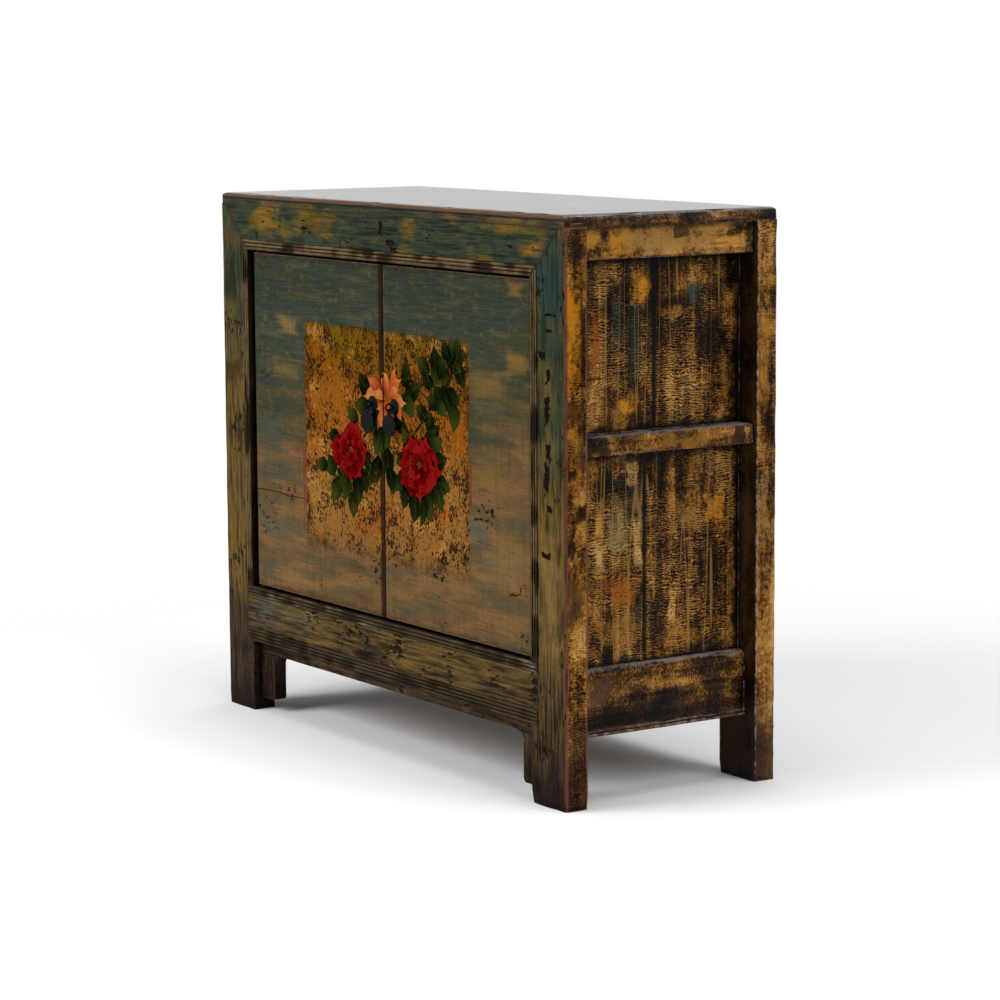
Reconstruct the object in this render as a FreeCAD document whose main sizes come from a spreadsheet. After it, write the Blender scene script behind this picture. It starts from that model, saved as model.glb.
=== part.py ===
import FreeCAD, Part
import math
import os
import re
import Sketcher

# Painted two-door cabinet on four legs, in the pieces that it comes apart into on a bench.
# X runs along the front, the front looks towards -Y, Z is up and the feet stand at zero.
# Driving sizes in millimetres.
SIZES = {
    # whole cabinet
    "width": 980,
    "depth": 380,
    "height": 850,
    # posts
    "post_width": 86,
    "post_depth": 38,
    "post_round": 5,
    # mortises, tenons, laps and cuts
    "fit": 0.2,
    "overrun": 5,
    "lap_depth": 14,
    "tenon_length": 42,
    "tenon_thickness": 11,
    "tenon_setback": 16,
    "tenon_shoulder": 14,
    "side_tenon_length": 20,
    "side_tenon_thickness": 10,
    "side_tenon_setback": 29,
    "side_tenon_shoulder": 9,
    "rear_tenon_setback": 4,
    # reeded mouldings
    "reed_width": 5.5,
    "reed_rise": 2,
    # front rails
    "top_rail_height": 72,
    "leg_height": 116,
    "bottom_rail_height": 92,
    # apron and spandrels
    "apron_setback": 15,
    "apron_thickness": 21,
    "apron_height": 21,
    "apron_tongue_height": 8,
    "apron_tongue_thickness": 8,
    "spandrel_width": 43,
    "spandrel_clearance": 20,
    "spandrel_cove": 16,
    "spandrel_round": 8,
    # side rails
    "side_rail_setback": 74,
    "side_top_height": 48,
    "side_top_recess": 13,
    "side_mid_level": 505,
    "side_mid_height": 30,
    "side_mid_recess": 10,
    "side_bottom_drop": 19,
    "side_bottom_recess": 27,
    "side_bottom_round": 12,
    "ledge_drop": 12,
    "rail_round": 3,
    # side and back boards
    "panel_setback": 44,
    "panel_thickness": 12,
    "groove_depth": 8,
    "upper_board_width": 148,
    "lower_board_width": 131,
    "tongue_length": 5,
    "tongue_thickness": 4,
    "rear_rail_depth": 34,
    "back_setback": 8,
    "back_board_width": 270,
    # top boards and their battens
    "top_thickness": 18,
    "top_front_width": 140,
    "top_middle_width": 110,
    "top_front_round": 6,
    "top_end_round": 16,
    "top_corner_round": 8,
    "stub_height": 9,
    "stub_width": 36,
    "batten_width": 36,
    "batten_height": 28,
    "batten_spacing": 400,
    "batten_tenon": 10,
    "batten_shoulder": 7,
    # floor boards, bearers and shelf boards
    "floor_thickness": 20,
    "floor_front_width": 165,
    "bearer_width": 34,
    "bearer_height": 38,
    "bearer_spacing": 420,
    "shelf_thickness": 18,
    "shelf_front_width": 155,
    # doors
    "door_recess": 6,
    "door_thickness": 22,
    "door_gap": 4,
    "side_gap": 3,
    "meeting_gap": 3,
    "meeting_round": 2,
    "pivot_stile_width": 58,
    "meeting_stile_width": 60,
    "door_rail_height": 56,
    "door_panel_thickness": 12,
    "door_groove_setback": 6,
    "door_groove_width": 5,
    "door_groove_depth": 8,
    "door_tenon_length": 30,
    "door_tenon_thickness": 8,
    "door_tenon_shoulder": 12,
    "door_batten_width": 30,
    "door_batten_rise": 9,
    "door_batten_housing": 3,
    "dovetail_flare": 3,
    "door_batten_offset": 150,
    # wooden pivots and the stop behind the doors
    "pivot_radius": 7.5,
    "pivot_play": 0.1,
    "top_pin_length": 16,
    "bottom_pin_length": 8,
    "lift_room": 9,
    "end_play": 0.3,
    "stop_height": 8,
    "stop_gap": 0.5,
    # iron pulls
    "pull_inset": 30,
    "pull_level": 541,
    "rosette_radius": 13.5,
    "rosette_rise": 3.5,
    "rosette_edge": 0.8,
    "wire_radius": 1.3,
    "wire_bend": 2,
    "eye_radius": 5.5,
    "seat_gap": 0.2,
    "staple_hole": 2.9,
    "leg_offset": 1.35,
    "clench_length": 12,
    "drop_thickness": 2,
    "drop_width": 37,
    "drop_length": 44,
    "drop_shoulder": 23,
    "drop_neck": 8,
    "drop_hole": 2.2,
    "drop_wall": 2.6,
    "drop_slack": 0.3,
}

# Counts of reeds in the mouldings round the doors, under the front and under the sides.
OPENING_REEDS = 3
LOWER_REEDS = 4
SIDE_REEDS = 2

# Places that several pieces share, written in the driving sizes.
HALF = "(width/2)"
INNER = "(width/2 - post_width)"
TOP = "(height - top_thickness)"
OPENING_TOP = f"({TOP} - top_rail_height)"
SILL = "(leg_height + bottom_rail_height)"
LEDGE = f"({SILL} - ledge_drop)"
SIDE_BOTTOM = "(leg_height - side_bottom_drop)"
BEAD = f"({OPENING_REEDS}*reed_width)"
REED_RADIUS = "((reed_width^2/4 + reed_rise^2)/(2*reed_rise))"
TENON_BACK = "(tenon_setback + tenon_thickness)"
REAR = "(depth - post_depth)"
REAR_TENON = f"({REAR} + rear_tenon_setback)"
SIDE_INNER = "(width/2 - side_rail_setback)"
SIDE_TENON = "(width/2 - side_tenon_setback)"
SIDE_TOP = f"({TOP} - side_top_height)"
SHELF = "(side_mid_level + side_mid_height)"
PANEL_OUT = "(width/2 - panel_setback)"
PANEL_IN = f"({PANEL_OUT} - panel_thickness)"
BACK_OUT = "(depth - back_setback)"
BACK_IN = f"({BACK_OUT} - panel_thickness)"
APRON_BOTTOM = "(leg_height - apron_height)"
TONGUE_FRONT = "(apron_setback + apron_thickness/2 - apron_tongue_thickness/2)"
TONGUE_BACK = "(apron_setback + apron_thickness/2 + apron_tongue_thickness/2)"
DOOR_BACK = "(door_recess + door_thickness)"
STOP = f"({DOOR_BACK} + stop_gap)"
DOOR_TOP = f"({OPENING_TOP} - door_gap)"
DOOR_BOTTOM = f"({SILL} + door_gap)"
PIVOT_X = f"({INNER} - side_gap - door_thickness/2)"
PIVOT_Y = "(door_recess + door_thickness/2)"
STILE_EDGE = f"({INNER} - side_gap - pivot_stile_width)"
MEETING_EDGE = "(meeting_gap/2 + meeting_stile_width)"
GROOVE_FRONT = "(door_recess + door_groove_setback)"
GROOVE_BACK = f"({GROOVE_FRONT} + door_groove_width)"
DOOR_TENON_FRONT = f"({PIVOT_Y} - door_tenon_thickness/2)"
DOOR_TENON_BACK = f"({PIVOT_Y} + door_tenon_thickness/2)"
PANEL_BACK = "(door_recess + door_panel_thickness)"
PULL_X = "(meeting_gap/2 + pull_inset)"
EYE_OUTER = "(eye_radius + wire_radius)"
EYE_Y = f"(door_recess - rosette_rise - seat_gap - {EYE_OUTER})"
DROP_HOLE_Z = "(-(eye_radius - wire_radius - drop_slack) - drop_hole)"

# The frame's origin is under the middle of the whole part, pulls included.
FRONT_Y = f"(-(depth + {EYE_Y} - {EYE_OUTER})/2)"

LEFT_TURN = 1
RIGHT_TURN = -1

doc = FreeCAD.newDocument("cabinet")
sheet = doc.addObject("Spreadsheet::Sheet", "Dims")
for row, (alias, size) in enumerate(SIZES.items(), 1):
    sheet.set(f"A{row}", alias)
    sheet.set(f"B{row}", str(size))
    sheet.setAlias(f"B{row}", alias)
doc.recompute()
pieces = {}


def tied(text):
    """The expression with each size read from the sheet."""
    return re.sub(r"[a-z_]+", lambda word: f"Dims.{word[0]}" if word[0] in SIZES else word[0], text)


def number(text):
    """The expression's value for the sizes in the sheet."""
    return float(sheet.evalExpression(text))


def arc_through(start, end, radius, turn):
    """The shorter arc from start to end that turns left or right."""
    chord = end - start
    rise = math.sqrt(max(radius**2 - chord.Length**2 / 4, 0))
    normal = FreeCAD.Vector(-chord.y, chord.x, 0).normalize()
    centre = (start + end) / 2 + normal * (rise * turn)
    first, last = (start, end) if turn == LEFT_TURN else (end, start)
    low = math.atan2(first.y - centre.y, first.x - centre.x)
    high = math.atan2(last.y - centre.y, last.x - centre.x)
    circle = Part.Circle(centre, FreeCAD.Vector(0, 0, 1), radius)
    return Part.ArcOfCircle(circle, low, high if high > low else high + math.tau)


def constrain(sketch, kind, name, expression, *places):
    """One dimension of a sketch, tied to the sheet."""
    index = sketch.addConstraint(Sketcher.Constraint(kind, *places, number(expression)))
    sketch.renameConstraint(index, name)
    sketch.setExpression(f"Constraints.{name}", tied(expression))


def draw(body, name, axis, level, outline, at, closed=True):
    """An outline or path across one axis; a corner with a radius starts an arc, alone it is a circle."""
    role = {"X": "YZ_Plane", "Y": "XZ_Plane", "Z": "XY_Plane"}[axis]
    sketch = body.newObject("Sketcher::SketchObject", name)
    plane = [feature for feature in body.Origin.OriginFeatures if feature.Role == role][0]
    sketch.AttachmentSupport = (plane, "")
    sketch.MapMode = "FlatFace"
    for letter, shift in zip("xyz", (*at, level)):
        sketch.setExpression(f"AttachmentOffset.Base.{letter}", tied(shift))
    if len(outline) == 1:
        x, y, radius, turn = outline[0]
        centre = FreeCAD.Vector(number(x), number(y), 0)
        sketch.addGeometry(Part.Circle(centre, FreeCAD.Vector(0, 0, 1), number(radius)))
        constrain(sketch, "DistanceX", "x0", x, -1, 1, 0, 3)
        constrain(sketch, "DistanceY", "y0", y, -1, 1, 0, 3)
        constrain(sketch, "Radius", "r0", radius, 0)
        return sketch
    corners = [FreeCAD.Vector(number(corner[0]), number(corner[1]), 0) for corner in outline]
    edges = len(outline) if closed else len(outline) - 1
    ends = []
    for index, corner in enumerate(outline[:edges]):
        start, end = corners[index], corners[(index + 1) % len(corners)]
        if len(corner) == 2:
            sketch.addGeometry(Part.LineSegment(start, end))
            ends.append((1, 2))
        else:
            sketch.addGeometry(arc_through(start, end, number(corner[2]), corner[3]))
            ends.append((1, 2) if corner[3] == LEFT_TURN else (2, 1))
    for index, corner in enumerate(outline[:edges]):
        following = (index + 1) % len(outline)
        if following < edges:
            joint = (index, ends[index][1], following, ends[following][0])
            sketch.addConstraint(Sketcher.Constraint("Coincident", *joint))
        if len(corner) > 2:
            constrain(sketch, "Radius", f"r{index}", corner[2], index)
    for index, corner in enumerate(outline):
        point = (index, ends[index][0]) if index < edges else (index - 1, ends[index - 1][1])
        constrain(sketch, "DistanceX", f"x{index}", corner[0], -1, 1, *point)
        constrain(sketch, "DistanceY", f"y{index}", corner[1], -1, 1, *point)
    return sketch


def new_body(label):
    """An empty piece, standing where the whole part's origin puts it."""
    body = doc.addObject("PartDesign::Body", label)
    body.Label = label
    body.setExpression("Placement.Base.y", tied(FRONT_Y))
    pieces[label] = body
    return body


def pad(body, name, axis, start, end, outline, at=("0", "0")):
    """Wood or iron added between two levels of an axis."""
    level = f"-({end})" if axis == "Y" else start
    feature = body.newObject("PartDesign::Pad", f"{body.Label}_{name}")
    feature.Profile = draw(body, f"{body.Label}_{name}_outline", axis, level, outline, at)
    feature.setExpression("Length", tied(f"({end}) - ({start})"))
    body.Tip = feature


def pocket(body, name, axis, start, end, outline, at=("0", "0")):
    """Wood or iron taken away between two levels of an axis."""
    level = f"-({start})" if axis == "Y" else end
    feature = body.newObject("PartDesign::Pocket", f"{body.Label}_{name}")
    feature.Profile = draw(body, f"{body.Label}_{name}_outline", axis, level, outline, at)
    feature.setExpression("Length", tied(f"({end}) - ({start})"))
    body.Tip = feature


def rectangle(left, right, low, high):
    """Outline of a plain rectangle."""
    return [(left, low), (right, low), (right, high), (left, high)]


def grown(left, right, low, high):
    """Outline of a rectangle with the joints' clearance all round."""
    return rectangle(f"{left} - fit", f"{right} + fit", f"{low} - fit", f"{high} + fit")


def reeds_down(face, top, count):
    """Corners of the reeds on a front face, from the top one downwards."""
    return [(face, f"{top} - {index}*reed_width", REED_RADIUS, LEFT_TURN) for index in range(count)]


def both_ends(start, end):
    """The same stretch of X at the right and at the left end."""
    return (("right", start, end), ("left", f"-({end})", f"-({start})"))


def mirrored(label):
    """The left twin of a piece on the right."""
    twin = doc.addObject("Part::Mirroring", label.replace("right", "left"))
    twin.Label = label.replace("right", "left")
    twin.Source = pieces[label]
    twin.Normal = FreeCAD.Vector(1, 0, 0)
    pieces[twin.Label] = twin


def group(label, members):
    """Like pieces that share one name."""
    compound = doc.addObject("Part::Compound", label)
    compound.Label = label
    compound.Links = [pieces.pop(member) for member in members]
    pieces[label] = compound


# Levels between the shoulders of the tenons on each horizontal rail.
FRONT_TOP_TENON = (f"({OPENING_TOP} + tenon_shoulder)", f"({TOP} - tenon_shoulder)")
FRONT_BOTTOM_TENON = ("(leg_height + tenon_shoulder)", f"({SILL} - tenon_shoulder)")
SIDE_TENONS = {
    "top": (f"({SIDE_TOP} + side_tenon_shoulder)", f"({TOP} - side_tenon_shoulder)"),
    "mid": ("(side_mid_level + side_tenon_shoulder)", f"({SHELF} - side_tenon_shoulder)"),
    "bottom": (f"({SIDE_BOTTOM} + side_tenon_shoulder)", f"({LEDGE} - side_tenon_shoulder)"),
}
GROOVE_LOW = f"({LEDGE} - groove_depth)"
GROOVE_HIGH = f"({SIDE_TOP} + groove_depth)"


def side_mortises(post, start, end):
    """The three mortises that take the side rails' tenons."""
    for rail, (low, high) in SIDE_TENONS.items():
        outline = grown(f"({SIDE_TENON} - side_tenon_thickness)", SIDE_TENON, low, high)
        pocket(post, f"{rail}_side_mortise", "Y", start, end, outline)


def stub(post, start):
    """The stub on a post's head that enters the top boards."""
    middle = "(width/2 - post_width/2)"
    outline = rectangle(
        f"{middle} - stub_width/2", f"{middle} + stub_width/2", start, f"{start} + tenon_thickness"
    )
    pad(post, "stub", "Z", TOP, f"{TOP} + stub_height", outline)


# Front post: reeded beside the door, mitred to the top rail and notched for the bottom rail's lap.
post = new_body("front_right_post")
outline = [
    (INNER, "0"),
    (f"{HALF} - post_round", "0", "post_round", LEFT_TURN),
    (HALF, "post_round"),
    (HALF, "post_depth"),
    (INNER, "post_depth"),
]
pad(post, "blank", "Z", "0", TOP, outline)
reeds = [(f"{INNER} + {index}*reed_width", "0", REED_RADIUS, LEFT_TURN) for index in range(OPENING_REEDS)]
outline = [*reeds, (f"{INNER} + {BEAD}", "0"), (f"{INNER} + {BEAD}", "lap_depth"), (INNER, "lap_depth")]
pad(post, "reeds", "Z", SILL, f"{OPENING_TOP} + {BEAD}", outline)
outline = [
    (f"{INNER} - overrun", f"{OPENING_TOP} - overrun"),
    (f"{INNER} + top_rail_height + overrun", f"{TOP} + overrun"),
    (f"{INNER} - overrun", f"{TOP} + overrun"),
]
pocket(post, "mitre", "Y", "-reed_rise - overrun", "lap_depth", outline)
outline = rectangle(f"{INNER} - overrun", f"{INNER} + {BEAD}", "leg_height", SILL)
pocket(post, "notch", "Y", "-reed_rise - overrun", "lap_depth", outline)
for rail, (low, high) in (("top", FRONT_TOP_TENON), ("bottom", FRONT_BOTTOM_TENON)):
    outline = grown("tenon_setback", TENON_BACK, low, high)
    pocket(post, f"{rail}_mortise", "X", f"{INNER} - overrun", f"{INNER} + tenon_length + fit", outline)
side_mortises(post, "post_depth - side_tenon_length - fit", "post_depth + overrun")
outline = grown(PANEL_IN, PANEL_OUT, GROOVE_LOW, GROOVE_HIGH)
pocket(post, "panel_groove", "Y", "post_depth - groove_depth", "post_depth + overrun", outline)
stub(post, "tenon_setback")
mirrored("front_right_post")

# Rear post: plain, with mortises and grooves for the side and the back.
post = new_body("rear_right_post")
outline = [
    (INNER, REAR),
    (HALF, REAR),
    (HALF, "depth - post_round", "post_round", LEFT_TURN),
    (f"{HALF} - post_round", "depth"),
    (INNER, "depth"),
]
pad(post, "blank", "Z", "0", TOP, outline)
side_mortises(post, f"{REAR} - overrun", f"{REAR} + side_tenon_length + fit")
for rail, (low, high) in SIDE_TENONS.items():
    outline = grown(REAR_TENON, f"({REAR_TENON} + tenon_thickness)", low, high)
    pocket(post, f"{rail}_rear_mortise", "X", f"{INNER} - overrun", f"{INNER} + tenon_length + fit", outline)
outline = grown(PANEL_IN, PANEL_OUT, GROOVE_LOW, GROOVE_HIGH)
pocket(post, "panel_groove", "Y", f"{REAR} - overrun", f"{REAR} + groove_depth", outline)
outline = grown(BACK_IN, BACK_OUT, GROOVE_LOW, GROOVE_HIGH)
pocket(post, "back_groove", "X", f"{INNER} - overrun", f"{INNER} + groove_depth", outline)
stub(post, REAR_TENON)
mirrored("rear_right_post")


def rail_ends(rail, tenon_levels, tenon_front):
    """A tenon on each end of a rail that runs along X."""
    for end, start, stop in both_ends(INNER, f"{INNER} + tenon_length"):
        outline = rectangle(tenon_front, f"{tenon_front} + tenon_thickness", *tenon_levels)
        pad(rail, f"{end}_tenon", "X", start, stop, outline)


def cross_mortises(rail, start, end, member_name, tenon_levels):
    """Mortises in the inner face of a rail for a pair of members that run from front to back."""
    for side, sign in (("right", ""), ("left", "-")):
        middle = f"{sign}{member_name}_spacing/2"
        left, right = f"({middle} - {member_name}_width/2)", f"({middle} + {member_name}_width/2)"
        pocket(rail, f"{side}_mortise", "Y", start, end, grown(left, right, *tenon_levels))


BATTEN_TENON = (f"({TOP} - batten_height + batten_shoulder)", f"({TOP} - batten_shoulder)")
BEARER_TENON = (f"({LEDGE} - bearer_height + batten_shoulder)", f"({LEDGE} - batten_shoulder)")
FRONT_MORTISE = ("post_depth - batten_tenon - fit", "post_depth + overrun")
REAR_MORTISE = (f"{REAR} - overrun", f"{REAR} + batten_tenon + fit")

# Front top rail: reeded along the doors, a stop lip behind them, mitred ears over the posts.
rail = new_body("front_top_rail")
front = [("0", TOP), *reeds_down("0", f"{OPENING_TOP} + {BEAD}", OPENING_REEDS)]
outline = [
    ("0", OPENING_TOP),
    (STOP, OPENING_TOP),
    (STOP, f"{OPENING_TOP} - stop_height"),
    ("post_depth", f"{OPENING_TOP} - stop_height"),
    ("post_depth", TOP),
    *front,
]
pad(rail, "blank", "X", f"-{INNER}", INNER, outline)
for end, start, stop in both_ends(INNER, f"{INNER} + top_rail_height"):
    outline = [("0", OPENING_TOP), ("lap_depth", OPENING_TOP), ("lap_depth", TOP), *front]
    pad(rail, f"{end}_ear", "X", start, stop, outline)
for end, sign in (("right", ""), ("left", "-")):
    outline = [
        (f"{sign}{INNER}", OPENING_TOP),
        (f"{sign}({INNER} + top_rail_height + overrun)", f"{TOP} + overrun"),
        (f"{sign}({INNER} + top_rail_height + overrun)", f"{OPENING_TOP} - overrun"),
        (f"{sign}{INNER}", f"{OPENING_TOP} - overrun"),
    ]
    pocket(rail, f"{end}_mitre", "Y", "-reed_rise - overrun", "lap_depth", outline)
rail_ends(rail, FRONT_TOP_TENON, "tenon_setback")
for end, sign in (("right", ""), ("left", "-")):
    socket = [(f"{sign}{PIVOT_X}", PIVOT_Y, "pivot_radius + pivot_play", LEFT_TURN)]
    pocket(rail, f"{end}_socket", "Z", OPENING_TOP, f"{OPENING_TOP} + top_pin_length + lift_room", socket)
cross_mortises(rail, *FRONT_MORTISE, "batten", BATTEN_TENON)

# Front bottom rail: reeded along both edges, with a ledge for the floor and laps over the posts.
rail = new_body("front_bottom_rail")
front = [
    *reeds_down("0", SILL, OPENING_REEDS),
    ("0", f"{SILL} - {BEAD}"),
    *reeds_down("0", f"(leg_height + {LOWER_REEDS}*reed_width)", LOWER_REEDS),
]
outline = [
    ("0", "leg_height"),
    (f"{TONGUE_FRONT} - fit", "leg_height"),
    (f"{TONGUE_FRONT} - fit", "leg_height + apron_tongue_height + fit"),
    (f"{TONGUE_BACK} + fit", "leg_height + apron_tongue_height + fit"),
    (f"{TONGUE_BACK} + fit", "leg_height"),
    ("post_depth", "leg_height"),
    ("post_depth", LEDGE),
    (STOP, LEDGE),
    (STOP, SILL),
    *front,
]
pad(rail, "blank", "X", f"-{INNER}", INNER, outline)
for end, start, stop in both_ends(INNER, f"{INNER} + {BEAD}"):
    outline = [("0", "leg_height"), ("lap_depth", "leg_height"), ("lap_depth", SILL), *front]
    pad(rail, f"{end}_lap", "X", start, stop, outline)
rail_ends(rail, FRONT_BOTTOM_TENON, "tenon_setback")
for end, sign in (("right", ""), ("left", "-")):
    socket = [(f"{sign}{PIVOT_X}", PIVOT_Y, "pivot_radius + pivot_play", LEFT_TURN)]
    pocket(rail, f"{end}_socket", "Z", f"{SILL} - bottom_pin_length - end_play", SILL, socket)
cross_mortises(rail, *FRONT_MORTISE, "bearer", BEARER_TENON)

# Apron, tongued into the bottom rail, and the coved spandrels under its ends.
apron = new_body("front_apron")
outline = [
    ("apron_setback", APRON_BOTTOM),
    ("apron_setback + apron_thickness", APRON_BOTTOM),
    ("apron_setback + apron_thickness", "leg_height"),
    (TONGUE_BACK, "leg_height"),
    (TONGUE_BACK, "leg_height + apron_tongue_height"),
    (TONGUE_FRONT, "leg_height + apron_tongue_height"),
    (TONGUE_FRONT, "leg_height"),
    ("apron_setback", "leg_height"),
]
pad(apron, "blank", "X", f"-{INNER}", INNER, outline)

spandrel = new_body("front_right_spandrel")
edge = f"({INNER} - spandrel_width)"
outline = [
    (f"{edge} + spandrel_round", "spandrel_clearance"),
    (INNER, "spandrel_clearance"),
    (INNER, APRON_BOTTOM),
    (f"{edge} - spandrel_cove", APRON_BOTTOM, "spandrel_cove", RIGHT_TURN),
    (edge, f"{APRON_BOTTOM} - spandrel_cove"),
    (edge, "spandrel_clearance + spandrel_round", "spandrel_round", LEFT_TURN),
]
pad(spandrel, "blank", "Y", "apron_setback", "apron_setback + apron_thickness", outline)
mirrored("front_right_spandrel")


def groove_up(inside, outside, level):
    """Corners of a panel groove in the underside of a rail, from the low coordinate to the high one."""
    first, last, roof = f"{inside} - fit", f"{outside} + fit", f"{level} + groove_depth"
    return [(first, level), (first, roof), (last, roof), (last, level)]


def groove_down(inside, outside, level):
    """Corners of a panel groove in the top of a rail, from the high coordinate to the low one."""
    first, last, bed = f"{outside} + fit", f"{inside} - fit", f"{level} - groove_depth"
    return [(first, level), (first, bed), (last, bed), (last, level)]


def side_rail(place, outline):
    """A rail of the right side, tenoned into both posts, and its left twin."""
    label = f"right_{place}_rail"
    rail = new_body(label)
    pad(rail, "blank", "Y", "post_depth", REAR, outline)
    tenon = rectangle(f"{SIDE_TENON} - side_tenon_thickness", SIDE_TENON, *SIDE_TENONS[place])
    pad(rail, "front_tenon", "Y", "post_depth - side_tenon_length", "post_depth", tenon)
    pad(rail, "rear_tenon", "Y", REAR, f"{REAR} + side_tenon_length", tenon)
    mirrored(label)


# Side rails: the top and middle ones stand nearly flush, the bottom one lies deeper and is reeded.
face = "(width/2 - side_top_recess)"
outline = [
    (SIDE_INNER, SIDE_TOP),
    *groove_up(PANEL_IN, PANEL_OUT, SIDE_TOP),
    (f"{face} - rail_round", SIDE_TOP, "rail_round", LEFT_TURN),
    (face, f"{SIDE_TOP} + rail_round"),
    (face, TOP),
    (SIDE_INNER, TOP),
]
side_rail("top", outline)
face = "(width/2 - side_mid_recess)"
outline = [
    (SIDE_INNER, "side_mid_level"),
    *groove_up(PANEL_IN, PANEL_OUT, "side_mid_level"),
    (f"{face} - rail_round", "side_mid_level", "rail_round", LEFT_TURN),
    (face, "side_mid_level + rail_round"),
    (face, f"{SHELF} - rail_round", "rail_round", LEFT_TURN),
    (f"{face} - rail_round", SHELF),
    *groove_down(PANEL_IN, PANEL_OUT, SHELF),
    (SIDE_INNER, SHELF),
]
side_rail("mid", outline)
face = "(width/2 - side_bottom_recess)"
outline = [
    (SIDE_INNER, SIDE_BOTTOM),
    *[
        (face, f"{SIDE_BOTTOM} + {index}*reed_width", REED_RADIUS, LEFT_TURN)
        for index in range(SIDE_REEDS)
    ],
    (face, f"{SIDE_BOTTOM} + {SIDE_REEDS}*reed_width"),
    (face, f"{LEDGE} - side_bottom_round", "side_bottom_round", LEFT_TURN),
    (f"{face} - side_bottom_round", LEDGE),
    *groove_down(PANEL_IN, PANEL_OUT, LEDGE),
    (SIDE_INNER, LEDGE),
]
side_rail("bottom", outline)


def rear_rail(place, outline):
    """A rail of the back, tenoned into both rear posts."""
    rail = new_body(f"rear_{place}_rail")
    pad(rail, "blank", "X", f"-{INNER}", INNER, outline)
    rail_ends(rail, SIDE_TENONS[place], REAR_TENON)
    return rail


# Rear rails, level with the side rails and grooved for the back boards.
face = f"({REAR} + rear_rail_depth)"
outline = [
    (REAR, SIDE_TOP),
    *groove_up(BACK_IN, BACK_OUT, SIDE_TOP),
    (face, SIDE_TOP),
    (face, TOP),
    (REAR, TOP),
]
rail = rear_rail("top", outline)
cross_mortises(rail, *REAR_MORTISE, "batten", BATTEN_TENON)
outline = [
    (REAR, "side_mid_level"),
    *groove_up(BACK_IN, BACK_OUT, "side_mid_level"),
    (face, "side_mid_level"),
    (face, SHELF),
    *groove_down(BACK_IN, BACK_OUT, SHELF),
    (REAR, SHELF),
]
rear_rail("mid", outline)
outline = [
    (REAR, SIDE_BOTTOM),
    (face, SIDE_BOTTOM),
    (face, LEDGE),
    *groove_down(BACK_IN, BACK_OUT, LEDGE),
    (REAR, LEDGE),
]
rail = rear_rail("bottom", outline)
cross_mortises(rail, *REAR_MORTISE, "bearer", BEARER_TENON)

# Boards of each field stand in the grooves of the posts and of the rails above and below.
FIELDS = {
    "upper": (f"({SHELF} - groove_depth + fit)", f"({SIDE_TOP} + groove_depth - fit)"),
    "lower": (f"({LEDGE} - groove_depth + fit)", "(side_mid_level + groove_depth - fit)"),
}
TONGUE_LOW = "(panel_thickness/2 - tongue_thickness/2)"
TONGUE_HIGH = "(panel_thickness/2 + tongue_thickness/2)"
for field, (low, high) in FIELDS.items():
    side_joint = f"(post_depth + {field}_board_width)"
    board = new_body(f"right_{field}_front_board")
    outline = [
        (PANEL_IN, "post_depth - groove_depth + fit"),
        (PANEL_OUT, "post_depth - groove_depth + fit"),
        (PANEL_OUT, side_joint),
        (f"{PANEL_IN} + {TONGUE_HIGH}", side_joint),
        (f"{PANEL_IN} + {TONGUE_HIGH}", f"{side_joint} + tongue_length"),
        (f"{PANEL_IN} + {TONGUE_LOW}", f"{side_joint} + tongue_length"),
        (f"{PANEL_IN} + {TONGUE_LOW}", side_joint),
        (PANEL_IN, side_joint),
    ]
    pad(board, "blank", "Z", low, high, outline)
    mirrored(board.Label)
    board = new_body(f"right_{field}_rear_board")
    outline = [
        (PANEL_IN, f"{side_joint} + fit"),
        (f"{PANEL_IN} + {TONGUE_LOW} - fit", f"{side_joint} + fit"),
        (f"{PANEL_IN} + {TONGUE_LOW} - fit", f"{side_joint} + tongue_length + fit"),
        (f"{PANEL_IN} + {TONGUE_HIGH} + fit", f"{side_joint} + tongue_length + fit"),
        (f"{PANEL_IN} + {TONGUE_HIGH} + fit", f"{side_joint} + fit"),
        (PANEL_OUT, f"{side_joint} + fit"),
        (PANEL_OUT, f"{REAR} + groove_depth - fit"),
        (PANEL_IN, f"{REAR} + groove_depth - fit"),
    ]
    pad(board, "blank", "Z", low, high, outline)
    mirrored(board.Label)
    joint = "(back_board_width/2)"
    board = new_body(f"back_{field}_middle_board")
    outline = []
    for sign, order in (("", 1), ("-", -1)):
        side = [
            (f"{sign}{joint}", BACK_IN),
            (f"{sign}{joint}", f"{BACK_IN} + {TONGUE_LOW} - fit"),
            (f"{sign}({joint} - tongue_length - fit)", f"{BACK_IN} + {TONGUE_LOW} - fit"),
            (f"{sign}({joint} - tongue_length - fit)", f"{BACK_IN} + {TONGUE_HIGH} + fit"),
            (f"{sign}{joint}", f"{BACK_IN} + {TONGUE_HIGH} + fit"),
            (f"{sign}{joint}", BACK_OUT),
        ]
        outline += side[::order]
    pad(board, "blank", "Z", low, high, outline)
    board = new_body(f"back_{field}_right_board")
    outline = [
        (f"{joint} + fit", BACK_IN),
        (f"{INNER} + groove_depth - fit", BACK_IN),
        (f"{INNER} + groove_depth - fit", BACK_OUT),
        (f"{joint} + fit", BACK_OUT),
        (f"{joint} + fit", f"{BACK_IN} + {TONGUE_HIGH}"),
        (f"{joint} - tongue_length", f"{BACK_IN} + {TONGUE_HIGH}"),
        (f"{joint} - tongue_length", f"{BACK_IN} + {TONGUE_LOW}"),
        (f"{joint} + fit", f"{BACK_IN} + {TONGUE_LOW}"),
    ]
    pad(board, "blank", "Z", low, high, outline)
    mirrored(board.Label)


def tongue(joint, bottom, thickness):
    """Corners of the tongue on a flat board's rear edge, upwards."""
    low = f"({bottom} + {thickness}/2 - tongue_thickness/2)"
    high = f"({bottom} + {thickness}/2 + tongue_thickness/2)"
    reach = f"{joint} + tongue_length"
    return [(joint, low), (reach, low), (reach, high), (joint, high)]


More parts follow.
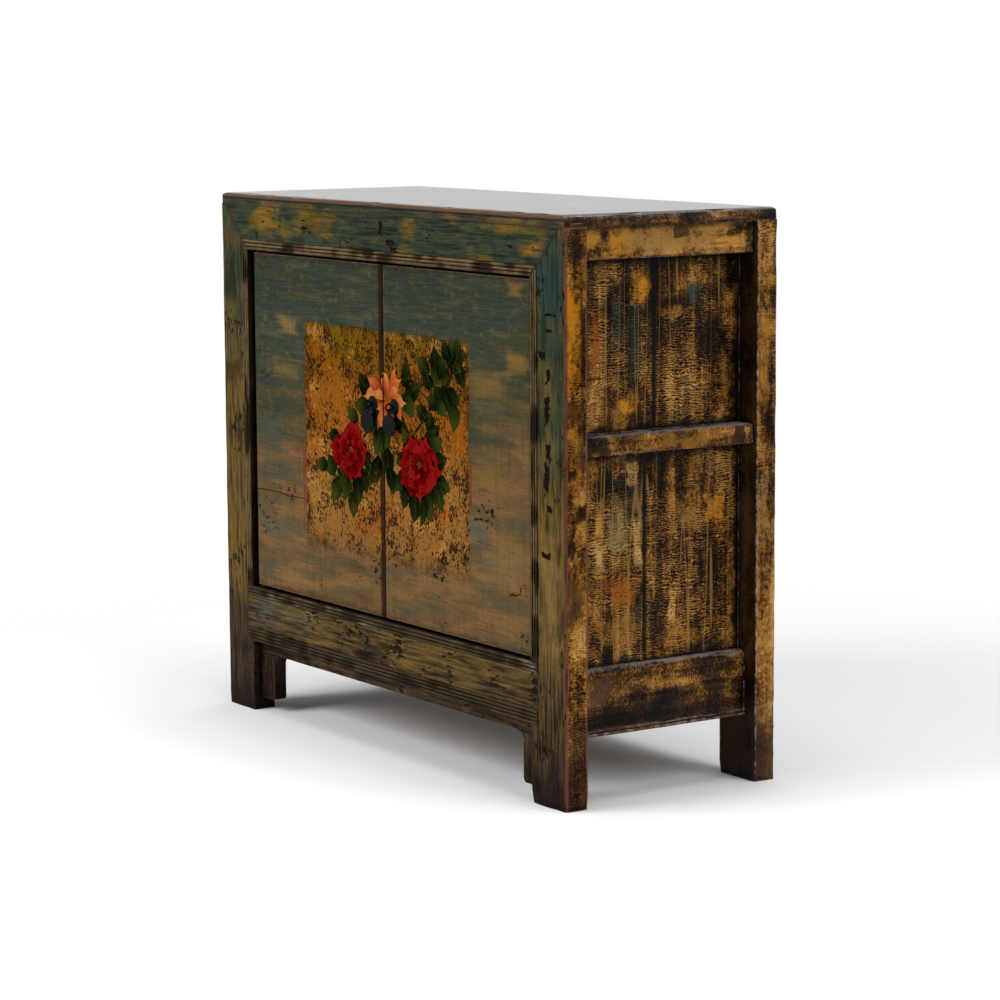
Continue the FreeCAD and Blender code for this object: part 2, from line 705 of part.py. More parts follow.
def tongue_groove(joint, bottom, thickness):
    """Corners of the groove in a flat board's front edge, downwards."""
    low = f"({bottom} + {thickness}/2 - tongue_thickness/2 - fit)"
    high = f"({bottom} + {thickness}/2 + tongue_thickness/2 + fit)"
    mouth, bed = f"{joint} + fit", f"{joint} + tongue_length + fit + fit"
    return [(mouth, high), (bed, high), (bed, low), (mouth, low)]


def round_ends(board, name, low, high):
    """Take the sharp upper edge off both ends of a top board."""
    for end, sign, turn in (("right", "", RIGHT_TURN), ("left", "-", LEFT_TURN)):
        outline = [
            (f"{sign}({HALF} - top_end_round)", "height", "top_end_round", turn),
            (f"{sign}{HALF}", "height - top_end_round"),
            (f"{sign}({HALF} + overrun)", "height - top_end_round"),
            (f"{sign}({HALF} + overrun)", "height + overrun"),
            (f"{sign}({HALF} - top_end_round)", "height + overrun"),
        ]
        pocket(board, f"{end}_{name}", "Y", low, high, outline)


def round_corners(board, edge, inward, outward, turns):
    """Round the two outer corners of a top board in plan."""
    for (end, sign), turn in zip((("right", ""), ("left", "-")), turns):
        outline = [
            (f"{sign}({HALF} - top_corner_round)", edge, "top_corner_round", turn),
            (f"{sign}{HALF}", inward),
            (f"{sign}({HALF} + overrun)", inward),
            (f"{sign}({HALF} + overrun)", outward),
            (f"{sign}({HALF} - top_corner_round)", outward),
        ]
        pocket(board, f"{end}_corner", "Z", f"{TOP} - overrun", "height + overrun", outline)


def stub_mortises(board, start):
    """Blind mortises under a top board for the stubs of two posts."""
    for end, sign in (("right", ""), ("left", "-")):
        middle = f"{sign}(width/2 - post_width/2)"
        outline = grown(
            f"({middle} - stub_width/2)", f"({middle} + stub_width/2)", start, f"({start} + tenon_thickness)"
        )
        pocket(board, f"{end}_stub_mortise", "Z", f"{TOP} - overrun", f"{TOP} + stub_height + fit", outline)


# Top: three tongued boards along X, flush with the carcass, their outer edges worn round.
FIRST_JOINT = "top_front_width"
SECOND_JOINT = "(top_front_width + top_middle_width)"
board = new_body("top_front_board")
outline = [
    ("0", TOP),
    (FIRST_JOINT, TOP),
    *tongue(FIRST_JOINT, TOP, "top_thickness"),
    (FIRST_JOINT, "height"),
    ("top_front_round", "height", "top_front_round", LEFT_TURN),
    ("0", "height - top_front_round"),
]
pad(board, "blank", "X", f"-{HALF}", HALF, outline)
round_ends(board, "end", "-overrun", f"{FIRST_JOINT} + tongue_length + overrun")
round_corners(board, "0", "top_corner_round", "-overrun", (LEFT_TURN, RIGHT_TURN))
stub_mortises(board, "tenon_setback")
board = new_body("top_middle_board")
outline = [
    (f"{FIRST_JOINT} + fit", TOP),
    (SECOND_JOINT, TOP),
    *tongue(SECOND_JOINT, TOP, "top_thickness"),
    (SECOND_JOINT, "height"),
    (f"{FIRST_JOINT} + fit", "height"),
    *tongue_groove(FIRST_JOINT, TOP, "top_thickness"),
]
pad(board, "blank", "X", f"-{HALF}", HALF, outline)
round_ends(board, "end", f"{FIRST_JOINT} - overrun", f"{SECOND_JOINT} + tongue_length + overrun")
board = new_body("top_rear_board")
outline = [
    (f"{SECOND_JOINT} + fit", TOP),
    ("depth", TOP),
    ("depth", "height - top_front_round", "top_front_round", LEFT_TURN),
    ("depth - top_front_round", "height"),
    (f"{SECOND_JOINT} + fit", "height"),
    *tongue_groove(SECOND_JOINT, TOP, "top_thickness"),
]
pad(board, "blank", "X", f"-{HALF}", HALF, outline)
round_ends(board, "end", f"{SECOND_JOINT} - overrun", "depth + overrun")
round_corners(board, "depth", "depth - top_corner_round", "depth + overrun", (RIGHT_TURN, LEFT_TURN))
stub_mortises(board, REAR_TENON)


def cross_pair(label, member_name, top, tenon_levels):
    """Two like members from the front rail to the rear rail, tenoned into both."""
    side = f"right_{label}"
    member = new_body(side)
    left = f"({member_name}_spacing/2 - {member_name}_width/2)"
    right = f"({member_name}_spacing/2 + {member_name}_width/2)"
    outline = rectangle(left, right, f"{top} - {member_name}_height", top)
    pad(member, "blank", "Y", "post_depth", REAR, outline)
    tenon = rectangle(left, right, *tenon_levels)
    pad(member, "front_tenon", "Y", "post_depth - batten_tenon", "post_depth", tenon)
    pad(member, "rear_tenon", "Y", REAR, f"{REAR} + batten_tenon", tenon)
    mirrored(side)
    group(label, [side, side.replace("right", "left")])


# Battens under the top boards and bearers under the floor boards.
cross_pair("top_battens", "batten", TOP, BATTEN_TENON)
cross_pair("floor_bearers", "bearer", LEDGE, BEARER_TENON)

# Floor: two tongued boards on the rails' ledges, cut round the posts; the front edge stops the doors.
FLOOR_TOP = f"({LEDGE} + floor_thickness)"
FLOOR_JOINT = "(post_depth + floor_front_width)"
BOARD_END = f"({PANEL_IN} - fit)"
board = new_body("floor_front_board")
outline = [
    (STOP, LEDGE),
    (FLOOR_JOINT, LEDGE),
    *tongue(FLOOR_JOINT, LEDGE, "floor_thickness"),
    (FLOOR_JOINT, FLOOR_TOP),
    (STOP, FLOOR_TOP),
]
pad(board, "blank", "X", f"-{BOARD_END}", BOARD_END, outline)
for end, start, stop in both_ends(f"{INNER} - fit", f"{BOARD_END} + overrun"):
    outline = rectangle(start, stop, f"{STOP} - overrun", "post_depth + fit")
    pocket(board, f"{end}_notch", "Z", f"{LEDGE} - overrun", f"{FLOOR_TOP} + overrun", outline)


def rear_board(label, joint, bottom, thickness):
    """The rear board of the floor or the shelf, grooved in front and cut round the rear posts."""
    board = new_body(label)
    top = f"({bottom} + {thickness})"
    outline = [
        (f"{joint} + fit", bottom),
        (f"{BACK_IN} - fit", bottom),
        (f"{BACK_IN} - fit", top),
        (f"{joint} + fit", top),
        *tongue_groove(joint, bottom, thickness),
    ]
    pad(board, "blank", "X", f"-{BOARD_END}", BOARD_END, outline)
    for end, start, stop in both_ends(f"{INNER} - fit", f"{BOARD_END} + overrun"):
        outline = rectangle(start, stop, f"{REAR} - fit", "depth")
        pocket(board, f"{end}_notch", "Z", f"{bottom} - overrun", f"{top} + overrun", outline)


rear_board("floor_rear_board", FLOOR_JOINT, LEDGE, "floor_thickness")

# Shelf: two tongued boards on the inner ledges of the middle rails.
SHELF_JOINT = "(post_depth + shelf_front_width)"
board = new_body("shelf_front_board")
outline = [
    ("post_depth + fit", SHELF),
    (SHELF_JOINT, SHELF),
    *tongue(SHELF_JOINT, SHELF, "shelf_thickness"),
    (SHELF_JOINT, f"{SHELF} + shelf_thickness"),
    ("post_depth + fit", f"{SHELF} + shelf_thickness"),
]
pad(board, "blank", "X", f"-{BOARD_END}", BOARD_END, outline)
rear_board("shelf_rear_board", SHELF_JOINT, SHELF, "shelf_thickness")

# Levels of the door rails and of their tenons.
DOOR_RAILS = {
    "top": (f"({DOOR_TOP} - door_rail_height)", DOOR_TOP),
    "bottom": (DOOR_BOTTOM, f"({DOOR_BOTTOM} + door_rail_height)"),
}


def door_mortises(stile, start, end):
    """Mortises in a door stile for the tenons of its two rails."""
    for rail, (low, high) in DOOR_RAILS.items():
        levels = (f"({low} + door_tenon_shoulder)", f"({high} - door_tenon_shoulder)")
        outline = grown(DOOR_TENON_FRONT, DOOR_TENON_BACK, *levels)
        pocket(stile, f"{rail}_mortise", "X", start, end, outline)


# Pivot stile: its outer edge is round about the pivots, which are one piece with it.
stile = new_body("right_door_pivot_stile")
outline = [
    (STILE_EDGE, "door_recess"),
    (PIVOT_X, "door_recess", "door_thickness/2", LEFT_TURN),
    (f"{PIVOT_X} + door_thickness/2", PIVOT_Y, "door_thickness/2", LEFT_TURN),
    (PIVOT_X, DOOR_BACK),
    (STILE_EDGE, DOOR_BACK),
    (STILE_EDGE, f"{GROOVE_BACK} + fit"),
    (f"{STILE_EDGE} + door_groove_depth", f"{GROOVE_BACK} + fit"),
    (f"{STILE_EDGE} + door_groove_depth", f"{GROOVE_FRONT} - fit"),
    (STILE_EDGE, f"{GROOVE_FRONT} - fit"),
]
pad(stile, "blank", "Z", DOOR_BOTTOM, DOOR_TOP, outline)
pin = [(PIVOT_X, PIVOT_Y, "pivot_radius", LEFT_TURN)]
pad(stile, "top_pivot", "Z", DOOR_TOP, f"{OPENING_TOP} + top_pin_length", pin)
pad(stile, "bottom_pivot", "Z", f"{SILL} - bottom_pin_length", DOOR_BOTTOM, pin)
door_mortises(stile, f"{STILE_EDGE} - overrun", f"{STILE_EDGE} + door_tenon_length + fit")
mirrored("right_door_pivot_stile")

# Meeting stile, bored for the pull's staple.
stile = new_body("right_door_meeting_stile")
outline = [
    ("meeting_gap/2 + meeting_round", "door_recess"),
    (MEETING_EDGE, "door_recess"),
    (MEETING_EDGE, f"{GROOVE_FRONT} - fit"),
    (f"{MEETING_EDGE} - door_groove_depth", f"{GROOVE_FRONT} - fit"),
    (f"{MEETING_EDGE} - door_groove_depth", f"{GROOVE_BACK} + fit"),
    (MEETING_EDGE, f"{GROOVE_BACK} + fit"),
    (MEETING_EDGE, DOOR_BACK),
    ("meeting_gap/2", DOOR_BACK),
    ("meeting_gap/2", "door_recess + meeting_round", "meeting_round", LEFT_TURN),
]
pad(stile, "blank", "Z", DOOR_BOTTOM, DOOR_TOP, outline)
door_mortises(stile, f"{MEETING_EDGE} - door_tenon_length - fit", f"{MEETING_EDGE} + overrun")
bore = [(PULL_X, "pull_level", "staple_hole", LEFT_TURN)]
pocket(stile, "staple_bore", "Y", "door_recess - overrun", f"{DOOR_BACK} + overrun", bore)
mirrored("right_door_meeting_stile")

# Door rails, grooved towards the panel and tenoned into both stiles.
for place, (low, high) in DOOR_RAILS.items():
    rail = new_body(f"right_door_{place}_rail")
    front, back = (f"{GROOVE_FRONT} - fit", f"{GROOVE_BACK} + fit")
    outline = [("door_recess", low), (DOOR_BACK, low), (DOOR_BACK, high), ("door_recess", high)]
    if place == "top":
        bed = f"{low} + door_groove_depth"
        outline[1:1] = [(front, low), (front, bed), (back, bed), (back, low)]
    else:
        bed = f"{high} - door_groove_depth"
        outline[3:3] = [(back, high), (back, bed), (front, bed), (front, high)]
    pad(rail, "blank", "X", MEETING_EDGE, STILE_EDGE, outline)
    levels = (f"{low} + door_tenon_shoulder", f"{high} - door_tenon_shoulder")
    tenon = rectangle(DOOR_TENON_FRONT, DOOR_TENON_BACK, *levels)
    pad(rail, "meeting_tenon", "X", f"{MEETING_EDGE} - door_tenon_length", MEETING_EDGE, tenon)
    pad(rail, "pivot_tenon", "X", STILE_EDGE, f"{STILE_EDGE} + door_tenon_length", tenon)
    mirrored(rail.Label)

# Door panel: flush with the frame in front, tongued all round, housed behind for two battens.
panel = new_body("right_door_panel")
low, high = DOOR_RAILS["bottom"][1], DOOR_RAILS["top"][0]
outline = rectangle(f"{MEETING_EDGE} + fit", f"{STILE_EDGE} - fit", f"{low} + fit", f"{high} - fit")
pad(panel, "blank", "Y", "door_recess", PANEL_BACK, outline)
reach = "(door_groove_depth - fit)"
outline = rectangle(
    f"{MEETING_EDGE} - {reach}", f"{STILE_EDGE} + {reach}", f"{low} - {reach}", f"{high} + {reach}"
)
pad(panel, "tongue", "Y", GROOVE_FRONT, GROOVE_BACK, outline)
BATTEN_LEVELS = {
    "lower": f"({DOOR_BOTTOM} + door_batten_offset)",
    "upper": f"({DOOR_TOP} - door_batten_offset)",
}
HOUSING = f"({PANEL_BACK} - door_batten_housing)"
NECK = "(door_batten_width/2)"
FLARE = "(door_batten_width/2 + dovetail_flare)"
for place, level in BATTEN_LEVELS.items():
    outline = [
        (f"{HOUSING} - fit", f"{level} - {FLARE} - fit"),
        (PANEL_BACK, f"{level} - {NECK} - fit"),
        (f"{PANEL_BACK} + overrun", f"{level} - {NECK} - fit"),
        (f"{PANEL_BACK} + overrun", f"{level} + {NECK} + fit"),
        (PANEL_BACK, f"{level} + {NECK} + fit"),
        (f"{HOUSING} - fit", f"{level} + {FLARE} + fit"),
    ]
    pocket(panel, f"{place}_housing", "X", f"{MEETING_EDGE} - overrun", f"{STILE_EDGE} + overrun", outline)
mirrored("right_door_panel")

# Battens slid into the panel's dovetailed housings.
for place, level in BATTEN_LEVELS.items():
    batten = new_body(f"right_door_{place}_batten")
    outline = [
        (HOUSING, f"{level} - {FLARE}"),
        (PANEL_BACK, f"{level} - {NECK}"),
        (f"{PANEL_BACK} + door_batten_rise", f"{level} - {NECK}"),
        (f"{PANEL_BACK} + door_batten_rise", f"{level} + {NECK}"),
        (PANEL_BACK, f"{level} + {NECK}"),
        (HOUSING, f"{level} + {FLARE}"),
    ]
    pad(batten, "blank", "X", f"{MEETING_EDGE} + fit", f"{STILE_EDGE} - fit", outline)
    mirrored(batten.Label)
for side in ("right", "left"):
    group(f"{side}_door_battens", [f"{side}_door_{place}_batten" for place in BATTEN_LEVELS])

# Rosette: a low iron dome on the meeting stile, pierced for the staple.
rosette = new_body("right_pull_rosette")
outline = [
    ("staple_hole", "0"),
    ("staple_hole", "-rosette_rise"),
    ("rosette_radius", "-rosette_edge"),
    ("rosette_radius", "0"),
]
dome = "((rosette_radius^2 + (rosette_rise - rosette_edge)^2)/(2*(rosette_rise - rosette_edge)))"
outline[1] = (*outline[1], dome, LEFT_TURN)
turned = rosette.newObject("PartDesign::Revolution", "right_pull_rosette_dome")
turned.Profile = draw(
    rosette, "right_pull_rosette_outline", "Z", "pull_level", outline, (PULL_X, "door_recess")
)
turned.ReferenceAxis = (turned.Profile[0], ["V_Axis"])
rosette.Tip = turned
mirrored("right_pull_rosette")


# Staple: one wire, bent into an eye before the rosette, its legs clenched behind the door.
staple = new_body("right_pull_staple")
clench = f"({DOOR_BACK} + seat_gap + wire_radius - {EYE_Y})"
neck = "sqrt((eye_radius + wire_bend)^2 - (leg_offset + wire_bend)^2)"
eye_share = "(eye_radius/(eye_radius + wire_bend))"
clench_end = "(leg_offset + wire_bend + clench_length)"
path = [
    (clench, clench_end),
    (clench, "leg_offset + wire_bend", "wire_bend", RIGHT_TURN),
    (f"{clench} - wire_bend", "leg_offset"),
    (neck, "leg_offset", "wire_bend", RIGHT_TURN),
    (f"{neck}*{eye_share}", f"(leg_offset + wire_bend)*{eye_share}", "eye_radius", LEFT_TURN),
    ("-eye_radius", "0", "eye_radius", LEFT_TURN),
    (f"{neck}*{eye_share}", f"-(leg_offset + wire_bend)*{eye_share}", "wire_bend", RIGHT_TURN),
    (neck, "-leg_offset"),
    (f"{clench} - wire_bend", "-leg_offset", "wire_bend", RIGHT_TURN),
    (clench, "-(leg_offset + wire_bend)"),
    (clench, f"-{clench_end}"),
]
bent = staple.newObject("PartDesign::AdditivePipe", "right_pull_staple_wire")
bent.Profile = draw(
    staple,
    "right_pull_staple_section",
    "Z",
    f"pull_level + {clench_end}",
    [(PULL_X, f"{EYE_Y} + {clench}", "wire_radius", LEFT_TURN)],
    ("0", "0"),
)
bent.Spine = draw(staple, "right_pull_staple_path", "X", PULL_X, path, (EYE_Y, "pull_level"), closed=False)
staple.Tip = bent
mirrored("right_pull_staple")

# Drop: a leaf-shaped iron plate that hangs by its hole in the staple's eye.
drop = new_body("right_pull_drop")
eye = "(drop_hole + drop_wall)"
tip = f"({DROP_HOLE_Z} + {eye} - drop_length)"
wide = f"({DROP_HOLE_Z} + {eye} - drop_shoulder)"
neck = f"({DROP_HOLE_Z} - {eye})"
lower_arc = "((drop_width^2/4 + (drop_length - drop_shoulder)^2)/drop_width)"
upper_arc = "(drop_width/2)"
outline = [
    ("0", tip, lower_arc, LEFT_TURN),
    ("drop_width/2", wide, upper_arc, LEFT_TURN),
    ("drop_neck/2", neck),
    (eye, DROP_HOLE_Z, eye, LEFT_TURN),
    ("0", f"{DROP_HOLE_Z} + {eye}", eye, LEFT_TURN),
    (f"-{eye}", DROP_HOLE_Z),
    ("-drop_neck/2", neck, upper_arc, LEFT_TURN),
    ("-drop_width/2", wide, lower_arc, LEFT_TURN),
]
faces = (f"{EYE_Y} - drop_thickness/2", f"{EYE_Y} + drop_thickness/2")
pad(drop, "blank", "Y", *faces, outline, (PULL_X, "pull_level"))
hole = [("0", DROP_HOLE_Z, "drop_hole", LEFT_TURN)]
pocket(drop, "hole", "Y", f"{faces[0]} - overrun", f"{faces[1]} + overrun", hole, (PULL_X, "pull_level"))
mirrored("right_pull_drop")

# Everything must have come out sound before a file is written.
doc.recompute()
failed = [item.Name for item in doc.Objects if {"Invalid", "Error"} & set(item.State)]
for label, piece in pieces.items():
    if piece.Shape.isNull() or not piece.Shape.isValid() or not piece.Shape.Solids:
        failed.append(label)
if failed:
    raise SystemExit(f"not sound: {failed}")
os.makedirs("parts", exist_ok=True)
for label, piece in pieces.items():
    piece.Shape.exportStep(f"parts/{label}.step")
    print(label, len(piece.Shape.Solids), round(piece.Shape.Volume))
print(len(pieces), "pieces")
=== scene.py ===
import math
import random
import bmesh
import bpy
from mathutils import Matrix, Vector, noise
from mathutils.bvhtree import BVHTree


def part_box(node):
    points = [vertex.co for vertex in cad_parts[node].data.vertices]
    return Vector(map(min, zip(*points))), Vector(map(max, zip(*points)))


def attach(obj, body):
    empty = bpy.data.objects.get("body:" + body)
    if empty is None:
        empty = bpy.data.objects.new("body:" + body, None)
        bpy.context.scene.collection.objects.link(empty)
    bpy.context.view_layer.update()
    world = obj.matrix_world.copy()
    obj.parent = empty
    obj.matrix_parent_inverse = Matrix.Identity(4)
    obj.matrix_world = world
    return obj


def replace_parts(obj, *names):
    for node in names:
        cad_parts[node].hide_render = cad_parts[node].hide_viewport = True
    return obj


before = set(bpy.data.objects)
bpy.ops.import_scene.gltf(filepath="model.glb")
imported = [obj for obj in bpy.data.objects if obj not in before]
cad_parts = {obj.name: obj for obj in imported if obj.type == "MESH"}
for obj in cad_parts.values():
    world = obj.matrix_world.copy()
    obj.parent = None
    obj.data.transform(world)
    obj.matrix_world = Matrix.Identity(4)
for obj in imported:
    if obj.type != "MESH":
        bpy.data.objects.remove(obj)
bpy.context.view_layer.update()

# Front frame: two flat posts that run down as legs, mitred to a reeded top rail and lapped by a bottom
# rail, with an apron and spandrels set back below. Softwood under old coats of green and ochre lacquer,
# rubbed thin on the faces, chipped to the dark ground and brown with handling on the legs.


def hue(red, green, blue):
    """A colour as the eye reads it on the real piece, in the linear values that a shader takes."""
    levels = [level / 255 for level in (red, green, blue)]
    return (*[((level + 0.055) / 1.055) ** 2.4 if level > 0.04 else level / 12.92 for level in levels], 1)


def dimmed(coat, share):
    """A coat's colour with only a share of its light."""
    return (*[level * share for level in coat[:3]], 1)


def join(source, target):
    """Links two sockets in the node tree that they are in."""
    source.id_data.links.new(source, target)


def add(kind, feeds, out=0, tree=None, **settings):
    """One shader node, in the tree of the sockets that feed its inputs; one or all outputs come back."""
    sockets = {key: value for key, value in feeds.items() if isinstance(value, bpy.types.NodeSocket)}
    tree = tree or next(iter(sockets.values())).id_data
    made = tree.nodes.new(f"ShaderNode{kind}")
    for name, value in settings.items():
        setattr(made, name, value)
    for key, value in feeds.items():
        if key in sockets:
            join(value, made.inputs[key])
        else:
            made.inputs[key].default_value = value
    return made.outputs if out is None else made.outputs[out]


def effect(group, **feeds):
    """A shared effect placed in a material; its outputs come back."""
    return add("Group", feeds, out=None, node_tree=group)


def calc(operation, first, *others):
    """Arithmetic on one value, or on several in turn."""
    for other in others or (0,):
        first = add("Math", {0: first, 1: other}, operation=operation)
    return first


def times(*shares):
    """Shares that all have to hold."""
    return calc("MULTIPLY", *shares)


def less(first, second):
    """What is left of a value when another is taken off."""
    return calc("SUBTRACT", first, second)


def size(value):
    """A value without its sign."""
    return calc("ABSOLUTE", value)


def shifted(value, layer, weight):
    """A value moved up and down by a layer of random variation."""
    return calc("ADD", value, times(less(layer, 0.5), weight))


def step(value, low, high):
    """A soft step from 0 at low to 1 at high."""
    limits = {"Value": value, "From Min": low, "From Max": high}
    return add("MapRange", limits, interpolation_type="SMOOTHSTEP")


def within(value, low, high, fuzz):
    """1 between two limits, with fuzzy ends."""
    return times(step(value, low - fuzz, low + fuzz), step(value, high + fuzz, high - fuzz))


def over(share, under, coat):
    """A coat laid over a colour by a share."""
    return add("Mix", {0: share, 6: under, 7: coat}, out=2, data_type="RGBA")


def tint(colour, mask, share, coat):
    """A thin coat laid over a colour where a mask says."""
    return over(times(mask, share), colour, coat)


def cloud(place, scale, detail=3, roughness=0.55):
    """Soft random variation round one half; scale gives its repeats per metre, or those of each axis."""
    scale = (scale,) * 3 if isinstance(scale, int) else scale
    spread = add("VectorMath", {0: place, 1: scale}, operation="MULTIPLY")
    return add("TexNoise", {"Vector": spread, "Scale": 1, "Detail": detail, "Roughness": roughness})


def axes(vector):
    """The three numbers of a vector."""
    return [add("SeparateXYZ", {0: vector}, out=axis) for axis in "XYZ"]


def graded(value, *stops):
    """A colour that runs through stops, each a position from 0 to 1 and a colour."""
    ramp = value.id_data.nodes.new("ShaderNodeValToRGB")
    join(value, ramp.inputs[0])
    while len(ramp.color_ramp.elements) < len(stops):
        ramp.color_ramp.elements.new(0.5)
    for element, (position, colour) in zip(ramp.color_ramp.elements, stops):
        element.position = position
        element.color = colour
    return ramp.outputs["Color"]


def new_effect(name, vectors, values=(), outputs=("Mask",)):
    """An empty shader node group, with the sockets of its input node and its output node."""
    tree = bpy.data.node_groups.new(name, "ShaderNodeTree")
    for socket in (*vectors, *values):
        kind = "NodeSocketVector" if socket in vectors else "NodeSocketFloat"
        tree.interface.new_socket(socket, in_out="INPUT", socket_type=kind)
    for socket in outputs:
        kind = "NodeSocketColor" if socket == "Colour" else "NodeSocketFloat"
        tree.interface.new_socket(socket, in_out="OUTPUT", socket_type=kind)
    return tree, tree.nodes.new("NodeGroupInput").outputs, tree.nodes.new("NodeGroupOutput").inputs


def new_finish(name):
    """An empty material with its shader's inputs, the place on the piece and the way the surface faces."""
    material = bpy.data.materials.new(name)
    material.use_nodes = True
    nodes = material.node_tree.nodes
    spot = nodes.new("ShaderNodeTexCoord").outputs
    return material, nodes["Principled BSDF"].inputs, spot["Object"], spot["Normal"]


def surface(shader, colour, shine, height, depth, gloss, strength=0.5):
    """Feeds a shader its colour, roughness and gloss, and a relief of the given depth."""
    join(colour, shader["Base Color"])
    join(shine, shader["Roughness"])
    relief = add("Bump", {"Strength": strength, "Distance": depth, "Height": height})
    join(relief, shader["Normal"])
    shader["Specular IOR Level"].default_value = gloss


def dress(material, *names):
    """Gives CAD pieces a material."""
    for name in names:
        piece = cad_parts[name]
        piece.data.materials.clear()
        piece.data.materials.append(material)


# Where a coat has gone: broad shapes whose rims fray along the grain.
worn_patches, inputs, outputs = new_effect(
    "worn_patches", ("Place", "Broad", "Grain"), ("Fray", "Edge", "Soft")
)
broad = cloud(inputs["Place"], inputs["Broad"])
frayed = cloud(inputs["Place"], inputs["Grain"], detail=4, roughness=0.65)
level = shifted(broad, frayed, inputs["Fray"])
rim = calc("ADD", inputs["Edge"], inputs["Soft"])
join(step(level, inputs["Edge"], rim), outputs["Mask"])


def worn(place, broad, grain, fray, edge, soft):
    """The mask of worn patches strewn over a piece."""
    feeds = {"Place": place, "Broad": broad, "Grain": grain}
    return effect(worn_patches, **feeds, Fray=fray, Edge=edge, Soft=soft)["Mask"]


# A squarish patch at one place, torn by drift and frayed along the grain.
FRAYING, DRIFTING = 1.3, 2.4
placed_patch, inputs, outputs = new_effect(
    "placed_patch", ("Place", "Centre", "Reach", "Drift", "Grain"), ("Soft",)
)
away = add("VectorMath", {0: inputs["Place"], 1: inputs["Centre"]}, operation="SUBTRACT")
away = add("VectorMath", {0: away, 1: inputs["Reach"]}, operation="DIVIDE")
away = calc("MAXIMUM", *axes(add("VectorMath", {0: away}, operation="ABSOLUTE")))
frayed = cloud(inputs["Place"], inputs["Grain"], detail=4, roughness=0.7)
drift = cloud(inputs["Place"], inputs["Drift"], detail=2)
away = shifted(shifted(away, frayed, FRAYING), drift, DRIFTING)
join(step(away, 1.0, less(1.0, inputs["Soft"])), outputs["Mask"])


def placed(place, centre, reach, drift, grain, soft):
    """The mask of one patch round a centre."""
    feeds = {"Place": place, "Centre": centre, "Reach": reach}
    return effect(placed_patch, **feeds, Drift=drift, Grain=grain, Soft=soft)["Mask"]


# Arrises that hands and moves have rubbed, and a painted shade for corners and hollows that other surfaces
# close in.
ARRIS_REACH, SHADE_REACH = 0.005, 0.014
rubbed_and_shaded, inputs, outputs = new_effect("rubbed_and_shaded", ("Place",), outputs=("Arris", "Painted_Shade"))
ragged = cloud(inputs["Place"], 60, detail=4, roughness=0.7)
rays = {"out": "AO", "tree": rubbed_and_shaded, "samples": 8}
inside = add("AmbientOcclusion", {"Distance": ARRIS_REACH}, inside=True, only_local=True, **rays)
arris = shifted(less(1.0, inside), ragged, 0.7)
join(step(arris, 0.2, 0.36), outputs["Arris"])
# Painted shade: darker where nearby surfaces close in a corner or hollow.
outside = add("AmbientOcclusion", {"Distance": SHADE_REACH}, **rays)
corner = shifted(less(1.0, outside), ragged, 0.5)
join(step(corner, 0.15, 0.5), outputs["Painted_Shade"])

# Scraped lacquer of the sides: dark coats planed and rubbed through to ochre, with the plane's ripples
# across the grain, long streaks along it and a fine crackle.
RIPPLES, RIPPLE_BEND = 1650.0, 44.0
scraped_lacquer, inputs, outputs = new_effect(
    "scraped_lacquer", ("Place", "Streaks"), ("Along", "Lift", "Rough"), ("Colour", "Height")
)
streaks = cloud(inputs["Place"], inputs["Streaks"], detail=4, roughness=0.6)
bent = cloud(inputs["Place"], (24, 24, 50), detail=4, roughness=0.6)
ripples = calc("SINE", shifted(times(inputs["Along"], RIPPLES), bent, RIPPLE_BEND))
rough = step(cloud(inputs["Place"], 9), 0.34, 0.6)
blotch = cloud(inputs["Place"], 17, detail=5, roughness=0.7)
speckle = cloud(inputs["Place"], 240, roughness=0.7)
level = calc("ADD", inputs["Lift"], 0.5)
for layer, weight in ((streaks, 1.1), (blotch, 1.1), (speckle, 0.7)):
    level = shifted(level, layer, weight)
level = calc("ADD", level, times(ripples, rough, inputs["Rough"]))
colour = graded(
    level,
    (0.28, hue(12, 7, 4)),
    (0.43, hue(44, 27, 11)),
    (0.54, hue(90, 58, 22)),
    (0.66, hue(144, 98, 40)),
    (0.86, hue(186, 142, 80)),
)
join(colour, outputs["Colour"])
join(level, outputs["Height"])

# Bare softwood, gone brown with age, inside and behind the cabinet.
old_wood, inputs, outputs = new_effect(
    "old_wood", ("Place", "Grain"), outputs=("Colour", "Height")
)
broad = cloud(inputs["Place"], 3, detail=1)
grain = cloud(inputs["Place"], inputs["Grain"], detail=5, roughness=0.7)
level = calc("ADD", times(broad, 0.5), times(grain, 0.6))
browns = (0.3, hue(74, 52, 32)), (0.55, hue(118, 88, 56)), (0.75, hue(146, 114, 76))
join(graded(level, *browns), outputs["Colour"])
join(grain, outputs["Height"])

# The share of a piece's skin that looks into the cabinet, where no coat was laid.
COATED_DEPTH, BOARD_HALF, TOP_CLEAR, SEAM = 0.029, 0.006, 0.001, 0.0005
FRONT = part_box("top_front_board")[0].y
inside_low = (
    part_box("left_upper_front_board")[0].x + BOARD_HALF,
    FRONT + COATED_DEPTH,
    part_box("floor_front_board")[0].z,
)
inside_high = (
    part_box("right_upper_front_board")[1].x - BOARD_HALF,
    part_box("back_upper_middle_board")[1].y - BOARD_HALF,
    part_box("top_front_board")[0].z - TOP_CLEAR,
)
looks_in, inputs, outputs = new_effect("looks_in", ("Place",))
limits = zip(axes(inputs["Place"]), inside_low, inside_high)
join(times(*[within(*limit, SEAM) for limit in limits]), outputs["Mask"])


def repeats(along, across):
    """Repeats per metre along and across the grain, for a grain that runs along X, Y or Z."""
    return {grain: tuple(along if axis == grain else across for axis in "XYZ") for grain in "XYZ"}


GRAINS, FLAKES, STREAKS, BANDS = repeats(9, 240), repeats(55, 190), repeats(3, 34), repeats(14, 70)
TORN, SIDE_REACH = (38, 38, 30), 0.03

